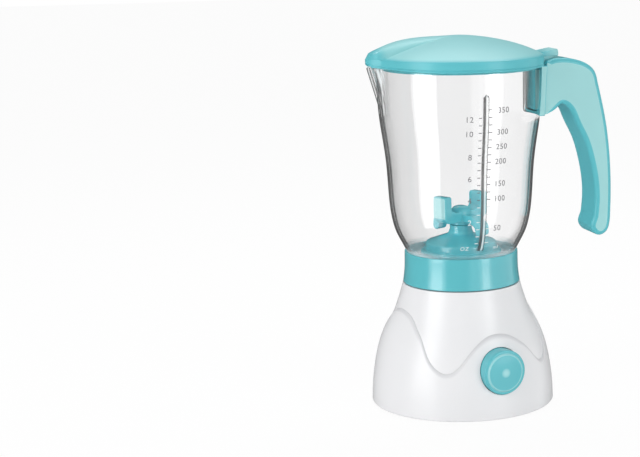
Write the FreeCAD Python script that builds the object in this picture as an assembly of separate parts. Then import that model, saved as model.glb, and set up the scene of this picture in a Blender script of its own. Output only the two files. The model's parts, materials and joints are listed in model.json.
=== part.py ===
import FreeCAD, Part
import os
from math import acos, atan2, cos, pi, radians, sin, tan

# Toy blender: a battery base with a push button, and a clear jar that lifts off it, with a handle, a
# hinged lid and a spinning blade. Millimetres. The origin is the centre of the ring that the feet
# stand in, +Z is up, the handle is along +X, the spout along -X, and the scale on the jar faces -Y.

# ---- Driving dimensions ----
BASE_TURN = 8.0  # the base's front, with the button, is turned this far from -Y towards +X, degrees
SHELL_BOTTOM = 0.6
BASE_SKIN = [(49.3, 0.6), (48.9, 10), (47.9, 18.6), (46.2, 28), (43.5, 37), (39.3, 46), (37.1, 50.5),
             (35.5, 55), (34.2, 59), (33.0, 63), (32.1, 66.4)]  # (radius, height) above the wave
WAVE_RAISE = 0.8  # the skin below the wave stands this much further out
# The wave's height on the front half, at degrees from the button, positive to its right; the back
# half is its mirror image.
WAVE = [(-90, 54.3), (-80, 53.4), (-73.5, 51.8), (-65, 47.1), (-57, 41.2), (-50, 32.6), (-44, 27.7),
        (-37.5, 25.6), (-31, 27.5), (-24, 33.7), (-15, 40.5), (-7, 43.8), (1, 44.6), (9, 43.7), (17.5, 40.5),
        (25.5, 35.3), (31.5, 29.6), (38, 26.4), (44, 28), (50.5, 33), (57, 40.8), (65, 47), (73.5, 51.7),
        (80, 53.4), (90, 54.3)]
SHELL_WALL = 2.2
DECK = BASE_SKIN[-1][1]
SPIGOT_R, SPIGOT_TOP = 29.2, 71.5
PLATE_LOW, PLATE_HIGH = 1.6, 3.6
PLATE_R = 46.7
FOOT_R, FOOT_AT = 4.5, 40.0

BUTTON_Z, BUTTON_R, BUTTON_GAP, BUTTON_FACE = 25.9, 12.05, 0.3, 51.3
TUBE_R, TUBE_END = 13.9, 36.5

CELL_R, CELL_LENGTH, CELL_Y, CELL_Z = 7.05, 49.3, 7.6, 10.9
BAY_X, BAY_Y, BAY_TOP, BAY_WALL = 28.4, 15.6, 19.6, 1.6
BOARD_Y = (-21.8, -20.2)  # the circuit board's front and back
SPEAKER_Y, SPEAKER_R, GRILLE_HOLE_R = 31.0, 13.4, 0.95
LEAD_R, LEAD_BEND = 0.55, 2.5

MODULE, PRESSURE = 0.6, 25.0  # gear teeth
PINION_TEETH, IDLER_TEETH, IDLER_SMALL_TEETH, OUTPUT_TEETH = 10, 34, 12, 36
BACKLASH = 0.16
IDLER_ANGLE, MOTOR_FROM_IDLER = 150.0, -120.0  # degrees
STAGE_ONE, STAGE_TWO = (52.4, 56.4), (57.2, 60.8)
GEAR_PLATE = (49.8, 51.8)
MOTOR_LOW, MOTOR_R, MOTOR_FLAT = 24.6, 10.05, 7.55
SHAFT_R, SHAFT_GAP = 2.0, 0.05

COLLAR_LOW, COLLAR_TOP, COLLAR_FLOOR = 66.9, 83.7, (76.6, 78.4)
NECK_R, DOG_R = 11.6, 9.0
JAR_SKIN = [(28.75, 82.0), (29.9, 84), (32.0, 88), (35.2, 94.3), (37.0, 100), (38.6, 110), (39.3, 120),
            (40.2, 133), (41.6, 144), (43.2, 155), (44.3, 168), (44.9, 183.8), (45.0, 186.0)]
JAR_BOTTOM, JAR_FLOOR, JAR_WALL = 78.5, 80.3, 1.8
JAR_TOP = JAR_SKIN[-1][1]  # the form's height, before its rim is cut
RIM = 183.8
RIM_RISE = [(-24, 0), (-38, 0.5), (-52, 1.4)]  # the rim's slow rise to the spout: (x, rise), an arc
SPOUT_LOW, SPOUT_TIP_LOW, SPOUT_TIP = 158.0, 43.4, 51.9
POCKET_X, POCKET_Y, POCKET_LOW = 40.8, 6.7, 158.4  # the slot in the jar that takes the handle's tongue
GAUGE, GAUGE_HALF = (89.0, 171.0), 1.4  # the bead of the measuring scale: bottom and top, half width

HANDLE_HALF = 10.9
HINGE_X, HINGE_Z, PIN_R = 49.3, 182.8, 1.0
LID_LOW, LID_R, LID_WALL = 183.95, 45.8, 1.8
LID_DOME = [(44.4, 190.5), (39.8, 192.6), (32.8, 195.2), (22.5, 197.9), (12, 199.7), (0, 200.6)]
BLADE_ANGLE = 26.5  # where the tall blades point at rest, degrees from +X

os.makedirs("parts", exist_ok=True)
UP = FreeCAD.Vector(0, 0, 1)
ORIGIN = FreeCAD.Vector(0, 0, 0)


# ---- Ways of making shapes ----
def at(x, y, z):
    return FreeCAD.Vector(x, y, z)


def outline(start, *steps):
    """A flat face in the XZ plane. A step (x, z) is a straight edge, ((x, z), (x, z)) is an arc through
    the first point to the second, and a list of points is a smooth curve through them."""
    edges, here = [], start
    for step in steps + (start,):
        if isinstance(step, list):
            curve = Part.BSplineCurve()
            curve.interpolate([at(x, 0, z) for x, z in [here] + step])
            edges.append(curve.toShape())
            here = step[-1]
        elif isinstance(step[0], tuple):
            through, end = step
            edges.append(Part.Arc(*[at(x, 0, z) for x, z in (here, through, end)]).toShape())
            here = end
        elif step != here:
            edges.append(Part.makeLine(at(here[0], 0, here[1]), at(step[0], 0, step[1])))
            here = step
    return Part.Face(Part.Wire(edges))


def turned(face):
    """The face's outline, in radius and height, turned a full circle about Z."""
    return face.revolve(ORIGIN, UP, 360)


def slab(face, low, high):
    """A face in the XZ plane made thick along Y."""
    return face.translated(at(0, low, 0)).extrude(at(0, high - low, 0))


def rod(radius, low, high, x=0.0, y=0.0):
    return Part.makeCylinder(radius, high - low, at(x, y, low))


def tube(outer, inner, low, high, x=0.0, y=0.0):
    return rod(outer, low, high, x, y).cut(rod(inner, low, high, x, y))


def block(x0, x1, y0, y1, z0, z1):
    return Part.makeBox(x1 - x0, y1 - y0, z1 - z0, at(x0, y0, z0))


def flat_rod(radius, near, far, x, z):
    """A cylinder lying along -Y, from a distance near to a distance far in front of the axis."""
    return Part.makeCylinder(radius, far - near, at(x, -near, z), at(0, -1, 0))


def around(shape, *angles):
    return [shape.rotated(ORIGIN, UP, angle) for angle in angles]


def joined(*shapes):
    return shapes[0].fuse(list(shapes[1:])).removeSplitter()


def group(shapes):
    return Part.makeCompound(shapes)


def polar(radius, angle):
    return radius * cos(radians(angle)), radius * sin(radians(angle))


def keep(name, shape, turn=0.0):
    """Writes one node, after it is turned to where it stands, and prints its size."""
    shape = shape.rotated(ORIGIN, UP, turn)
    solids = shape.Solids
    assert solids and all(s.isValid() and s.Volume > 0 for s in solids), name
    (solids[0] if len(solids) == 1 else group(solids)).exportStep(f"parts/{name}.step")
    box = shape.BoundBox
    print(f"{name:20s} {len(solids)} solid(s) {shape.Volume:9.1f} mm3, z {box.ZMin:6.2f} to {box.ZMax:6.2f}")


# ---- Base shell: a white bell with a raised wave, a button tube and a spigot for the jar ----
def wave_slope(i):
    """How steeply the wave climbs at one of its points; it is level at both ends."""
    if i in (0, len(WAVE) - 1):
        return 0
    return (WAVE[i + 1][1] - WAVE[i - 1][1]) / (WAVE[i + 1][0] - WAVE[i - 1][0])


def wave_height(angle):
    """How high the wave stands, at an angle in degrees from the button: a smooth curve through WAVE."""
    angle = (angle + 180) % 360 - 180
    if abs(angle) > 90:
        angle = (180 if angle > 0 else -180) - angle
    i = max(k for k in range(len(WAVE) - 1) if WAVE[k][0] <= angle)
    (start, low), (end, high) = WAVE[i], WAVE[i + 1]
    step = end - start
    t = (angle - start) / step
    return (low * (2 * t ** 3 - 3 * t ** 2 + 1) + high * (3 * t ** 2 - 2 * t ** 3)
            + step * (wave_slope(i) * (t ** 3 - 2 * t ** 2 + t) + wave_slope(i + 1) * (t ** 3 - t ** 2)))


def bell(grow, top):
    """The base's outer form, grown sideways, and closed at its bottom and at a height."""
    skin = [(r + grow, z) for r, z in BASE_SKIN if z <= top]
    return turned(outline((0, SHELL_BOTTOM), skin[0], skin[1:], (0, skin[-1][1])))


def below_the_wave():
    """A ring, wide enough to cross the shell's wall, whose top follows the wave."""
    inner, outer, step = 28.0, 56.0, 5
    loops = []
    for radius in (inner, outer):
        points = []
        for i in range(int(360 / step)):
            x, y = polar(radius, i * step - 90)
            points.append(at(x, y, wave_height(i * step)))
        curve = Part.BSplineCurve()
        curve.interpolate(points, True)
        flat = Part.BSplineCurve()
        flat.interpolate([at(p.x, p.y, -2) for p in points], True)
        loops += [curve.toShape(), flat.toShape()]
    inner_top, inner_low, outer_top, outer_low = loops
    sides = [(inner_top, outer_top), (outer_top, outer_low), (outer_low, inner_low), (inner_low, inner_top)]
    solid = Part.Solid(Part.makeShell([Part.makeRuledSurface(a, b) for a, b in sides]))
    solid.fixTolerance(1e-4)
    if solid.Volume < 0:
        solid.reverse()
    return solid


SCREW_AT = [polar(39.0, angle) for angle in (20, 160, 200, 340)]
POST_AT = [polar(26.5, angle) for angle in (30, 110, 250)]
idler_x, idler_y = polar(MODULE * (IDLER_SMALL_TEETH + OUTPUT_TEETH) / 2, IDLER_ANGLE)
arm_x, arm_y = polar(MODULE * (PINION_TEETH + IDLER_TEETH) / 2, MOTOR_FROM_IDLER)
motor_x, motor_y = idler_x + arm_x, idler_y + arm_y


def base_shell():
    form = bell(0, DECK)
    skin = form.fuse(bell(WAVE_RAISE, 59).common(below_the_wave()))
    ceiling = DECK - SHELL_WALL
    inside = [(r - SHELL_WALL, z) for r, z in BASE_SKIN if z < 60]
    hollow = turned(outline((0, SHELL_BOTTOM), inside[0], inside[1:], (30.6, ceiling),
                            (SPIGOT_R - 2, ceiling), (SPIGOT_R - 2, SPIGOT_TOP - 2), (0, SPIGOT_TOP - 2)))
    spigot = turned(outline((0, DECK - 1), (SPIGOT_R, DECK - 1), (SPIGOT_R, SPIGOT_TOP - 1.2),
                            ((SPIGOT_R - 0.35, SPIGOT_TOP - 0.35), (SPIGOT_R - 1.2, SPIGOT_TOP)),
                            (0, SPIGOT_TOP)))
    button_tube = flat_rod(TUBE_R, TUBE_END, 50, 0, BUTTON_Z).common(form)
    bosses = [rod(3.1, PLATE_HIGH, 44, x, y).common(form) for x, y in SCREW_AT]
    posts = [rod(2.4, GEAR_PLATE[1], SPIGOT_TOP - 1, x, y) for x, y in POST_AT]
    pin_socket = rod(2.6, 62.2, SPIGOT_TOP - 1, idler_x, idler_y)
    bush_boss = rod(6.4, 66.0, SPIGOT_TOP - 1)
    shell = joined(skin.fuse(spigot).cut(hollow), button_tube, *bosses, *posts, pin_socket, bush_boss)
    cuts = [flat_rod(BUTTON_R + BUTTON_GAP, TUBE_END - 1, 56, 0, BUTTON_Z), rod(4.0, 60, SPIGOT_TOP + 1),
            rod(1.02, 61, 64, idler_x, idler_y)]
    cuts += [rod(1.25, PLATE_HIGH - 1, 15, x, y) for x, y in SCREW_AT]
    cuts += [rod(1.05, GEAR_PLATE[1] - 1, 60, x, y) for x, y in POST_AT]
    return shell.cut(group(cuts))


keep("base_shell", base_shell(), BASE_TURN)


# ---- Bottom: the plate with its battery bay and board holders, the door, feet and screws ----
def base_plate():
    plate = rod(PLATE_R, PLATE_LOW, PLATE_HIGH)
    box = block(-BAY_X - BAY_WALL, BAY_X + BAY_WALL, -BAY_Y - BAY_WALL, BAY_Y + BAY_WALL,
                PLATE_HIGH - 1, BAY_TOP + BAY_WALL)
    door_boss = rod(2.6, PLATE_LOW + 1, 9, 32.2, 0)
    holders = [block(x - 2, x + 2, -24.2, -18.2, PLATE_HIGH - 1, 39) for x in (-15, 15)]
    speaker_ring = tube(SPEAKER_R + 1.4, SPEAKER_R + 0.2, PLATE_HIGH - 1, 5.8, 0, SPEAKER_Y)
    solid = joined(plate, box, door_boss, *holders, speaker_ring)
    cuts = [block(-BAY_X, BAY_X, -BAY_Y, BAY_Y, 0, BAY_TOP),
            block(-BAY_X - 0.8, BAY_X + 0.8, -BAY_Y - 0.8, BAY_Y + 0.8, 0, PLATE_HIGH),
            block(BAY_X, 35.4, -4.6, 4.6, 0, PLATE_LOW + 1), rod(1.25, 0, 8, 32.2, 0),
            block(-13.4, 13.4, -22.0, -20.0, 8, 40)]
    for x, y in SCREW_AT:
        cuts += [rod(1.5, 0, 9, x, y), rod(2.8, 0, PLATE_LOW + 0.8, x, y)]
    for radius, count in ((0, 1), (4.6, 6), (9.2, 12)):  # the speaker's grille
        for i in range(count):
            x, y = polar(radius, 360 * i / count)
            cuts.append(rod(GRILLE_HOLE_R, 0, PLATE_HIGH + 1, x, y + SPEAKER_Y))
    return solid.cut(group(cuts))


def battery_door():
    lid = block(-BAY_X - 0.5, BAY_X + 0.5, -BAY_Y - 0.5, BAY_Y + 0.5, PLATE_LOW, PLATE_HIGH)
    ear = block(BAY_X, 35.0, -4.2, 4.2, PLATE_LOW, PLATE_LOW + 1)
    grips = [block(-24 + 3 * i, -22.8 + 3 * i, -8, 8, 0, PLATE_LOW + 0.6) for i in range(4)]
    return joined(lid, ear).cut(group(grips + [rod(1.4, 0, PLATE_HIGH, 32.2, 0)]))


def screw(x, y, head_low, head_r, shank_r, length):
    head = rod(head_r, head_low, head_low + 0.8, x, y)
    slot = group([block(x - 1.3, x + 1.3, y - 0.25, y + 0.25, head_low - 1, head_low + 0.4),
                  block(x - 0.25, x + 0.25, y - 1.3, y + 1.3, head_low - 1, head_low + 0.4)])
    return joined(head, rod(shank_r, head_low + 0.4, head_low + length, x, y)).cut(slot)


keep("base_plate", base_plate(), BASE_TURN)
keep("battery_door", battery_door(), BASE_TURN)
keep("battery_door_screw", screw(32.2, 0, PLATE_LOW - 0.8, 2.2, 1.2, 6.5), BASE_TURN)
keep("base_screws", group([screw(x, y, PLATE_LOW, 2.5, 1.2, 12) for x, y in SCREW_AT]), BASE_TURN)
foot = turned(outline((0, 0), (FOOT_R - 0.5, 0), (FOOT_R, 0.5), (FOOT_R, PLATE_LOW), (0, PLATE_LOW)))
keep("rubber_feet", group([foot.translated(at(*polar(FOOT_AT, a), 0)) for a in (45, 135, 225, 315)]),
     BASE_TURN)


# ---- Batteries and their contacts ----
def battery(positive):
    """One cell along X, with its raised end towards +X (positive 1) or -X (positive -1)."""
    case = turned(outline((0, 0), (CELL_R - 0.6, 0), (CELL_R, 0.6), (CELL_R, CELL_LENGTH - 0.6),
                          (CELL_R - 0.6, CELL_LENGTH), (2.7, CELL_LENGTH), (2.7, CELL_LENGTH + 1.4),
                          (0, CELL_LENGTH + 1.4)))
    end = BAY_X - 0.5 - CELL_LENGTH - 1.4
    return case.rotated(ORIGIN, at(0, 1, 0), 90 * positive).translated(
        at(positive * end, -positive * CELL_Y, CELL_Z))


def leaf_spring(side):
    """A bent strip that pushes on a cell's flat end."""
    wall, tip = BAY_X - 0.1, BAY_X - 5.3
    strip = outline((wall, 5.5), (wall, 16), (wall - 0.4, 16), (wall - 0.4, 6.5), (tip + 0.4, 10.8),
                    (wall - 1.6, 15.0), (wall - 2.0, 14.7), (tip, 10.9), (tip, 10.3), (wall - 0.6, 5.5))
    strip = slab(strip, -2.5, 2.5).translated(at(0, CELL_Y, 0))
    return strip if side > 0 else strip.rotated(ORIGIN, UP, 180)


keep("battery_front", battery(1), BASE_TURN)
keep("battery_back", battery(-1), BASE_TURN)
keep("battery_springs", group([leaf_spring(1), leaf_spring(-1)]), BASE_TURN)
contact = block(BAY_X - 0.45, BAY_X - 0.05, -CELL_Y - 4, -CELL_Y + 4, 5.5, 16)
keep("battery_contacts", group([contact, contact.rotated(ORIGIN, UP, 180)]), BASE_TURN)


# ---- Motor ----
def motor_section(radius, flat, low, high):
    return rod(radius, low, high).common(block(-radius, radius, -flat, flat, low, high))


def at_motor(shape):
    return shape.translated(at(motor_x, motor_y, 0))


motor_top = GEAR_PLATE[0]
can = motor_section(MOTOR_R, MOTOR_FLAT, MOTOR_LOW + 4, motor_top)
can = can.cut(motor_section(MOTOR_R - 0.8, MOTOR_FLAT - 0.8, MOTOR_LOW, motor_top - 0.8))
can = can.fuse(rod(3.0, motor_top - 0.8, GEAR_PLATE[1] - 0.4)).cut(rod(1.05, MOTOR_LOW, 60))
keep("motor_can", at_motor(can), BASE_TURN)
cap = motor_section(MOTOR_R, MOTOR_FLAT, MOTOR_LOW, MOTOR_LOW + 4)
cap = cap.cut(motor_section(MOTOR_R - 1.2, MOTOR_FLAT - 1.2, MOTOR_LOW + 1.6, MOTOR_LOW + 4))
keep("motor_end_cap", at_motor(cap.cut(rod(1.05, 0, 60))), BASE_TURN)
magnet = tube(9.1, 7.0, MOTOR_LOW + 5, motor_top - 2).common(
    block(4, 10, -5.2, 5.2, MOTOR_LOW, motor_top))
keep("motor_magnets", at_motor(group(around(magnet, 0, 180))), BASE_TURN)
slots = [block(2.4, 8, -0.7, 0.7, MOTOR_LOW, motor_top).rotated(ORIGIN, UP, a) for a in (0, 120, 240)]
armature = rod(6.3, MOTOR_LOW + 6, motor_top - 4).cut(group(slots)).cut(rod(1.0, MOTOR_LOW, 60))
keep("motor_armature", at_motor(armature), BASE_TURN)
keep("motor_shaft", at_motor(rod(1.0, MOTOR_LOW + 0.4, STAGE_ONE[1] + 0.8)), BASE_TURN)


# ---- Gears: involute spur teeth, with room for backlash ----
def gear(teeth, low, high, phase):
    """A spur gear about Z with a tooth's middle at an angle of phase degrees."""
    pitch_r = MODULE * teeth / 2
    base_r = pitch_r * cos(radians(PRESSURE))
    tip_r, root_r = pitch_r + 0.8 * MODULE, pitch_r - 1.1 * MODULE

    def half_angle(radius):  # from a tooth's middle to its flank
        if radius <= base_r:
            radius = base_r
        angle = acos(base_r / radius)
        pitch = radians(PRESSURE)
        return (pi / 2 - BACKLASH / MODULE) / teeth + (tan(pitch) - pitch) - (tan(angle) - angle)

    steps = [root_r, max(root_r, base_r)] + [base_r + (tip_r - base_r) * k / 4 for k in (1, 2, 3, 4)]
    steps = sorted(set(r for r in steps if r >= root_r))
    points = []
    for i in range(teeth):
        middle = radians(phase) + 2 * pi * i / teeth
        for side, radii in ((-1, steps), (1, reversed(steps))):
            for r in radii:
                angle = middle + side * half_angle(r)
                points.append(at(r * cos(angle), r * sin(angle), low))
    return Part.Face(Part.makePolygon(points + [points[0]])).extrude(at(0, 0, high - low))


# Where a tooth of one gear meets a gap of the next, along the line between their centres.
idler_small_phase = IDLER_ANGLE + 180  # a tooth points at the output gear
output_phase = IDLER_ANGLE + 180 / OUTPUT_TEETH  # a gap points at the idler
idler_big_phase = MOTOR_FROM_IDLER  # a tooth points at the pinion
pinion_phase = MOTOR_FROM_IDLER + 180 + 180 / PINION_TEETH  # a gap points at the idler

pinion = gear(PINION_TEETH, *STAGE_ONE, pinion_phase).cut(rod(1.0, 50, 60))
keep("motor_pinion", at_motor(pinion), BASE_TURN)
idler = joined(gear(IDLER_TEETH, STAGE_ONE[0], STAGE_ONE[0] + 3.2, idler_big_phase),
               gear(IDLER_SMALL_TEETH, STAGE_ONE[0] + 3, STAGE_TWO[1] + 0.4, idler_small_phase))
keep("idler_gear", idler.cut(rod(1.05, 50, 63)).translated(at(idler_x, idler_y, 0)), BASE_TURN)
keep("idler_pin", rod(1.0, GEAR_PLATE[0], 63.8, idler_x, idler_y), BASE_TURN)
output = joined(gear(OUTPUT_TEETH, *STAGE_TWO, output_phase), rod(3.2, GEAR_PLATE[1] + 0.4, 64))
keep("output_gear", output.cut(rod(SHAFT_R, 50, 65)), BASE_TURN)
keep("output_shaft", rod(SHAFT_R, GEAR_PLATE[0] + 0.3, 75.5), BASE_TURN)
bush = tube(4.0, SHAFT_R + SHAFT_GAP, 66.0, SPIGOT_TOP)
keep("output_bush", bush, BASE_TURN)


def gear_plate():
    plate = rod(29.5, *GEAR_PLATE)
    cradle = motor_section(MOTOR_R + 1.8, MOTOR_FLAT + 1.8, 39, GEAR_PLATE[0] + 0.5)
    cradle = at_motor(cradle.cut(motor_section(MOTOR_R + 0.1, MOTOR_FLAT + 0.1, 38, GEAR_PLATE[0])))
    cuts = [rod(3.1, 40, 60, motor_x, motor_y), rod(1.0, 40, 60, idler_x, idler_y),
            rod(SHAFT_R + SHAFT_GAP, 40, 60), block(8, 24, -9, 2, 40, 60)]
    cuts += [rod(1.3, 40, 60, x, y) for x, y in POST_AT]
    return joined(plate, cradle).cut(group(cuts))


keep("gear_plate", gear_plate(), BASE_TURN)
keep("gear_plate_screws", group([screw(x, y, GEAR_PLATE[0] - 0.8, 2.2, 1.0, 9) for x, y in POST_AT]),
     BASE_TURN)

# ---- Drive dog: four fins on the output shaft, which reach up into the jar's dog ----
fin = block(2.5, 6.8, -0.9, 0.9, 72.6, 77.2)
drive_dog = joined(rod(6.8, 72.4, 73.4), rod(3.2, 73, 77.2), *around(fin, 0, 90, 180, 270))
keep("drive_dog", drive_dog.cut(rod(SHAFT_R, 72, 75.5)))


# ---- Button, switch, circuit board, speaker ----
def about_button(face):
    """An outline in radius and distance from the base's axis, turned about the button's axis."""
    return turned(face).rotated(ORIGIN, at(1, 0, 0), 90).translated(at(0, 0, BUTTON_Z))


def push_button():
    skirt_low, face, inner = TUBE_END - 1.5, BUTTON_FACE, BUTTON_R - 1.5
    cap = about_button(outline(
        (inner, skirt_low), (BUTTON_R, skirt_low), (BUTTON_R, face - 2.3),
        ((BUTTON_R - 0.45, face - 1.1), (BUTTON_R - 1.5, face - 0.6)),
        (10.2, face - 0.6), ((10.0, face - 0.15), (9.6, face)),
        [(6, face + 0.3), (3, face + 0.45), (0, face + 0.5)], (0, face - 2), (inner, face - 3.4)))
    stem = about_button(outline((0, 31.0), (2.6, 31.0), (2.6, face - 1.6), (0, face - 1.6)))
    claw = block(-2, 2, -TUBE_END + 0.2, -skirt_low, inner + 0.4, TUBE_R - 0.6)
    claws = [claw.rotated(ORIGIN, at(0, 1, 0), a).translated(at(0, 0, BUTTON_Z)) for a in (0, 120, 240)]
    return joined(cap, stem, *claws)


keep("push_button", push_button(), BASE_TURN)
keep("switch_plunger", flat_rod(1.7, 26.6, 31.0, 0, BUTTON_Z), BASE_TURN)
switch = block(-4, 4, -27.8, BOARD_Y[0], BUTTON_Z - 4, BUTTON_Z + 4)
keep("switch_body", switch.cut(flat_rod(1.75, 23.0, 28, 0, BUTTON_Z)), BASE_TURN)
keep("circuit_board", block(-13.2, 13.2, *BOARD_Y, 8.2, 39), BASE_TURN)
chips = [block(-9, -4, -22.9, BOARD_Y[0], 12, 17), block(6, 9.5, -23.3, BOARD_Y[0], 12, 20)]
keep("sound_chip", group(chips), BASE_TURN)
frame = joined(tube(SPEAKER_R, 11.8, PLATE_HIGH, 5.2), tube(SPEAKER_R, 6.0, 5.2, 6.0))
cone = turned(outline((0, 4.7), (3, 4.7), (11.6, 3.9), (11.6, 4.3), (3.2, 5.1), (0, 5.1)))
speaker = {"speaker_frame": frame, "speaker_cone": cone, "speaker_magnet": rod(6.6, 6.0, 9.4)}
for name, piece in speaker.items():
    keep(name, piece.translated(at(0, SPEAKER_Y, 0)), BASE_TURN)


def lead(*points):
    """A wire along straight runs with rounded corners."""
    points = [at(*p) for p in points]
    edges, here = [], points[0]
    for before, corner, after in zip(points, points[1:], points[2:]):
        back, on = (before - corner).normalize(), (after - corner).normalize()
        reach = min(LEAD_BEND, 0.45 * min(before.distanceToPoint(corner), after.distanceToPoint(corner)))
        half_turn = (pi - back.getAngle(on)) / 2
        inset = reach / tan(half_turn) * (1 / cos(half_turn) - 1)
        through = corner + (back + on).normalize() * inset
        edges += [Part.makeLine(here, corner + back * reach),
                  Part.Arc(corner + back * reach, through, corner + on * reach).toShape()]
        here = corner + on * reach
    path = Part.Wire(edges + [Part.makeLine(here, points[-1])])
    section = Part.Wire(Part.makeCircle(LEAD_R, points[0], (points[1] - points[0]).normalize()))
    return path.makePipeShell([section], True, False)


back = BOARD_Y[1]
keep("motor_leads", group([
    lead((motor_x + dx, motor_y - MOTOR_FLAT, 28), (motor_x + dx, -13.4, 28), (x, -15, 35), (x, back, 35))
    for dx, x in ((2.5, -9), (6.5, -6))]), BASE_TURN)
keep("speaker_leads", group([
    lead((9.5, SPEAKER_Y + gap, 6.8), (23, 28 + gap, 8), (31.9 + gap / 2, 19, 10 + gap),
         (31.9 + gap / 2, 4, 24 + gap), (20, -14, 25 + gap), (8 + gap, -15.5, 28 + gap),
         (8 + gap, back, 28 + gap)) for gap in (0, 1.6)]), BASE_TURN)
keep("battery_leads", group([
    lead((-BAY_X - BAY_WALL, y, 12), (-32, y, 12), (-32, y, z), (-32, -14.5, z), (-10, -15.5, z + 2),
         (-10, back, z + 2)) for y, z in ((-5, 23), (5, 25))]), BASE_TURN)


# ---- Collar, blade post and its ring nut: the teal foot of the jar ----
keep("collar", turned(outline(
    (29.5, COLLAR_LOW), (32.0, COLLAR_LOW), [(31.3, 72), (31.0, 77.5), (30.95, 82.4)],
    ((30.7, 83.3), (30.3, COLLAR_TOP)), (30.0, COLLAR_TOP), (29.1, 81.9), (29.1, COLLAR_FLOOR[1]),
    (NECK_R + 0.4, COLLAR_FLOOR[1]), (NECK_R + 0.4, COLLAR_FLOOR[0]), (29.5, COLLAR_FLOOR[0]))))
keep("blade_post", turned(outline(
    (DOG_R + 0.4, 74.0), (NECK_R, 74.0), (NECK_R, 80.4), (22.0, 80.4), (22.0, 82.6),
    ((21.6, 83.7), (20.5, 84.2)), (19.5, 84.3), (19.4, 87.0), ((19.2, 88.0), (18.4, 88.7)),
    (7.2, 92.7), ((6.3, 93.6), (6.0, 95.0)), (6.0, 97.6), (1.55, 97.6), (1.55, 79.8), (DOG_R + 0.4, 79.8))))
keep("post_ring_nut", joined(tube(15.0, NECK_R + 0.05, 74.4, COLLAR_FLOOR[0]),
                             *around(block(14, 16.4, -1.2, 1.2, 74.4, COLLAR_FLOOR[0]), 0, 60, 120, 180,
                                     240, 300)))

# ---- Blade: hub with two tall blades and two low ones, its shaft and the dog under the jar ----
hub = turned(outline((0, 97.8), (5.4, 97.8), (5.9, 98.3), (5.9, 103.6),
                     [(5.5, 105.4), (4.2, 107.1), (2.2, 108.0), (0, 108.2)]))
tall = slab(outline((3, 99.6), (11.6, 99.6), ((15.0, 101.1), (16.4, 104.6)), (16.4, 113.3),
                    ((16.0, 114.1), (15.2, 114.5)), (12.2, 114.5), ((11.4, 114.1), (11.0, 113.3)),
                    (10.8, 108.4), ((9.9, 106.3), (7.8, 105.4)), (3, 105.4)), -4.5, 4.5)
low = slab(outline((3, 99.6), (10.2, 99.6), ((13.2, 98.2), (14.4, 95.4)), ((16.9, 92.9), (18.8, 95.6)),
                   ((16.9, 101.2), (11.4, 103.6)), (3, 103.6)), -3.4, 3.4)
rotor = joined(hub, *around(tall, 0, 180), *around(low, 90, 270)).cut(rod(1.52, 97, 105.6))
keep("blade_rotor", rotor, BLADE_ANGLE)
keep("blade_shaft", rod(1.5, 78.0, 105.5))
rib = block(3.7, 8.2, -1.0, 1.0, 74.2, 78.5)
driven_dog = joined(tube(DOG_R, 7.4, 74.2, 78.4), rod(DOG_R, 77.9, 79.2), *around(rib, 45, 135, 225, 315))
keep("driven_dog", driven_dog.cut(rod(1.5, 77, 80)))


# ---- Jar: clear, with a spout, a slot for the handle and the bead of its measuring scale ----
def rim_line(height):
    """The rim's line from its flat part to the spout, at a height: a corner and an arc."""
    flat_end, through, tip = [(x, height + rise) for x, rise in RIM_RISE]
    return flat_end, (through, tip)


def jar_form(shrink, low):
    skin = [(r - shrink, z) for r, z in JAR_SKIN]
    return turned(outline((0, low), (skin[0][0], low), skin[0], skin[1:], (0, JAR_TOP)))


def spout_form(shrink):
    """A wedge that widens upwards and outwards, with a round tip."""
    def section(z, tip, half, nose):
        nose, tip, half = max(nose - shrink, 0.3), tip - shrink, half - shrink
        centre = tip - nose
        lean = atan2(half - nose, centre - 36.0)
        ax, ay = centre + nose * sin(lean), nose * cos(lean)
        a, b, c = at(-36, half, z), at(-ax, ay, z), at(-tip, 0, z)
        d, e = at(-ax, -ay, z), at(-36, -half, z)
        return Part.Wire([Part.makeLine(a, b), Part.Arc(b, c, d).toShape(), Part.makeLine(d, e),
                          Part.makeLine(e, a)])
    return Part.makeLoft([section(SPOUT_LOW, SPOUT_TIP_LOW, 4.4, 2.6), section(JAR_TOP, SPOUT_TIP, 12.0, 3.2)],
                         True, True)


def jar_body():
    outside = jar_form(0, JAR_BOTTOM)
    form = outside.fuse(spout_form(0))
    inside = jar_form(JAR_WALL, JAR_FLOOR).fuse(spout_form(1.5))
    above = slab(outline((60, RIM), *rim_line(RIM), (-60, RIM + 9), (60, RIM + 9)), -60, 60)
    pocket = block(POCKET_X - 1.6, 44, -POCKET_Y - 1.5, POCKET_Y + 1.5, POCKET_LOW - 1.6, RIM - 1.8)
    slot = block(POCKET_X, 50, -POCKET_Y, POCKET_Y, POCKET_LOW, RIM + 1)
    low, high = GAUGE
    bead = block(-GAUGE_HALF, GAUGE_HALF, -50, -30, low, high).fuse(flat_rod(GAUGE_HALF, 30, 50, 0, high))
    bead = bead.common(jar_form(-0.9, JAR_BOTTOM)).cut(inside)
    return joined(form.cut(inside.translated(at(0, 0, 0.02))).cut(above), pocket.common(outside), bead).cut(
        group([slot, rod(NECK_R + 0.4, JAR_BOTTOM - 1, JAR_FLOOR + 1)]))


keep("jar_body", jar_body())

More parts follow.
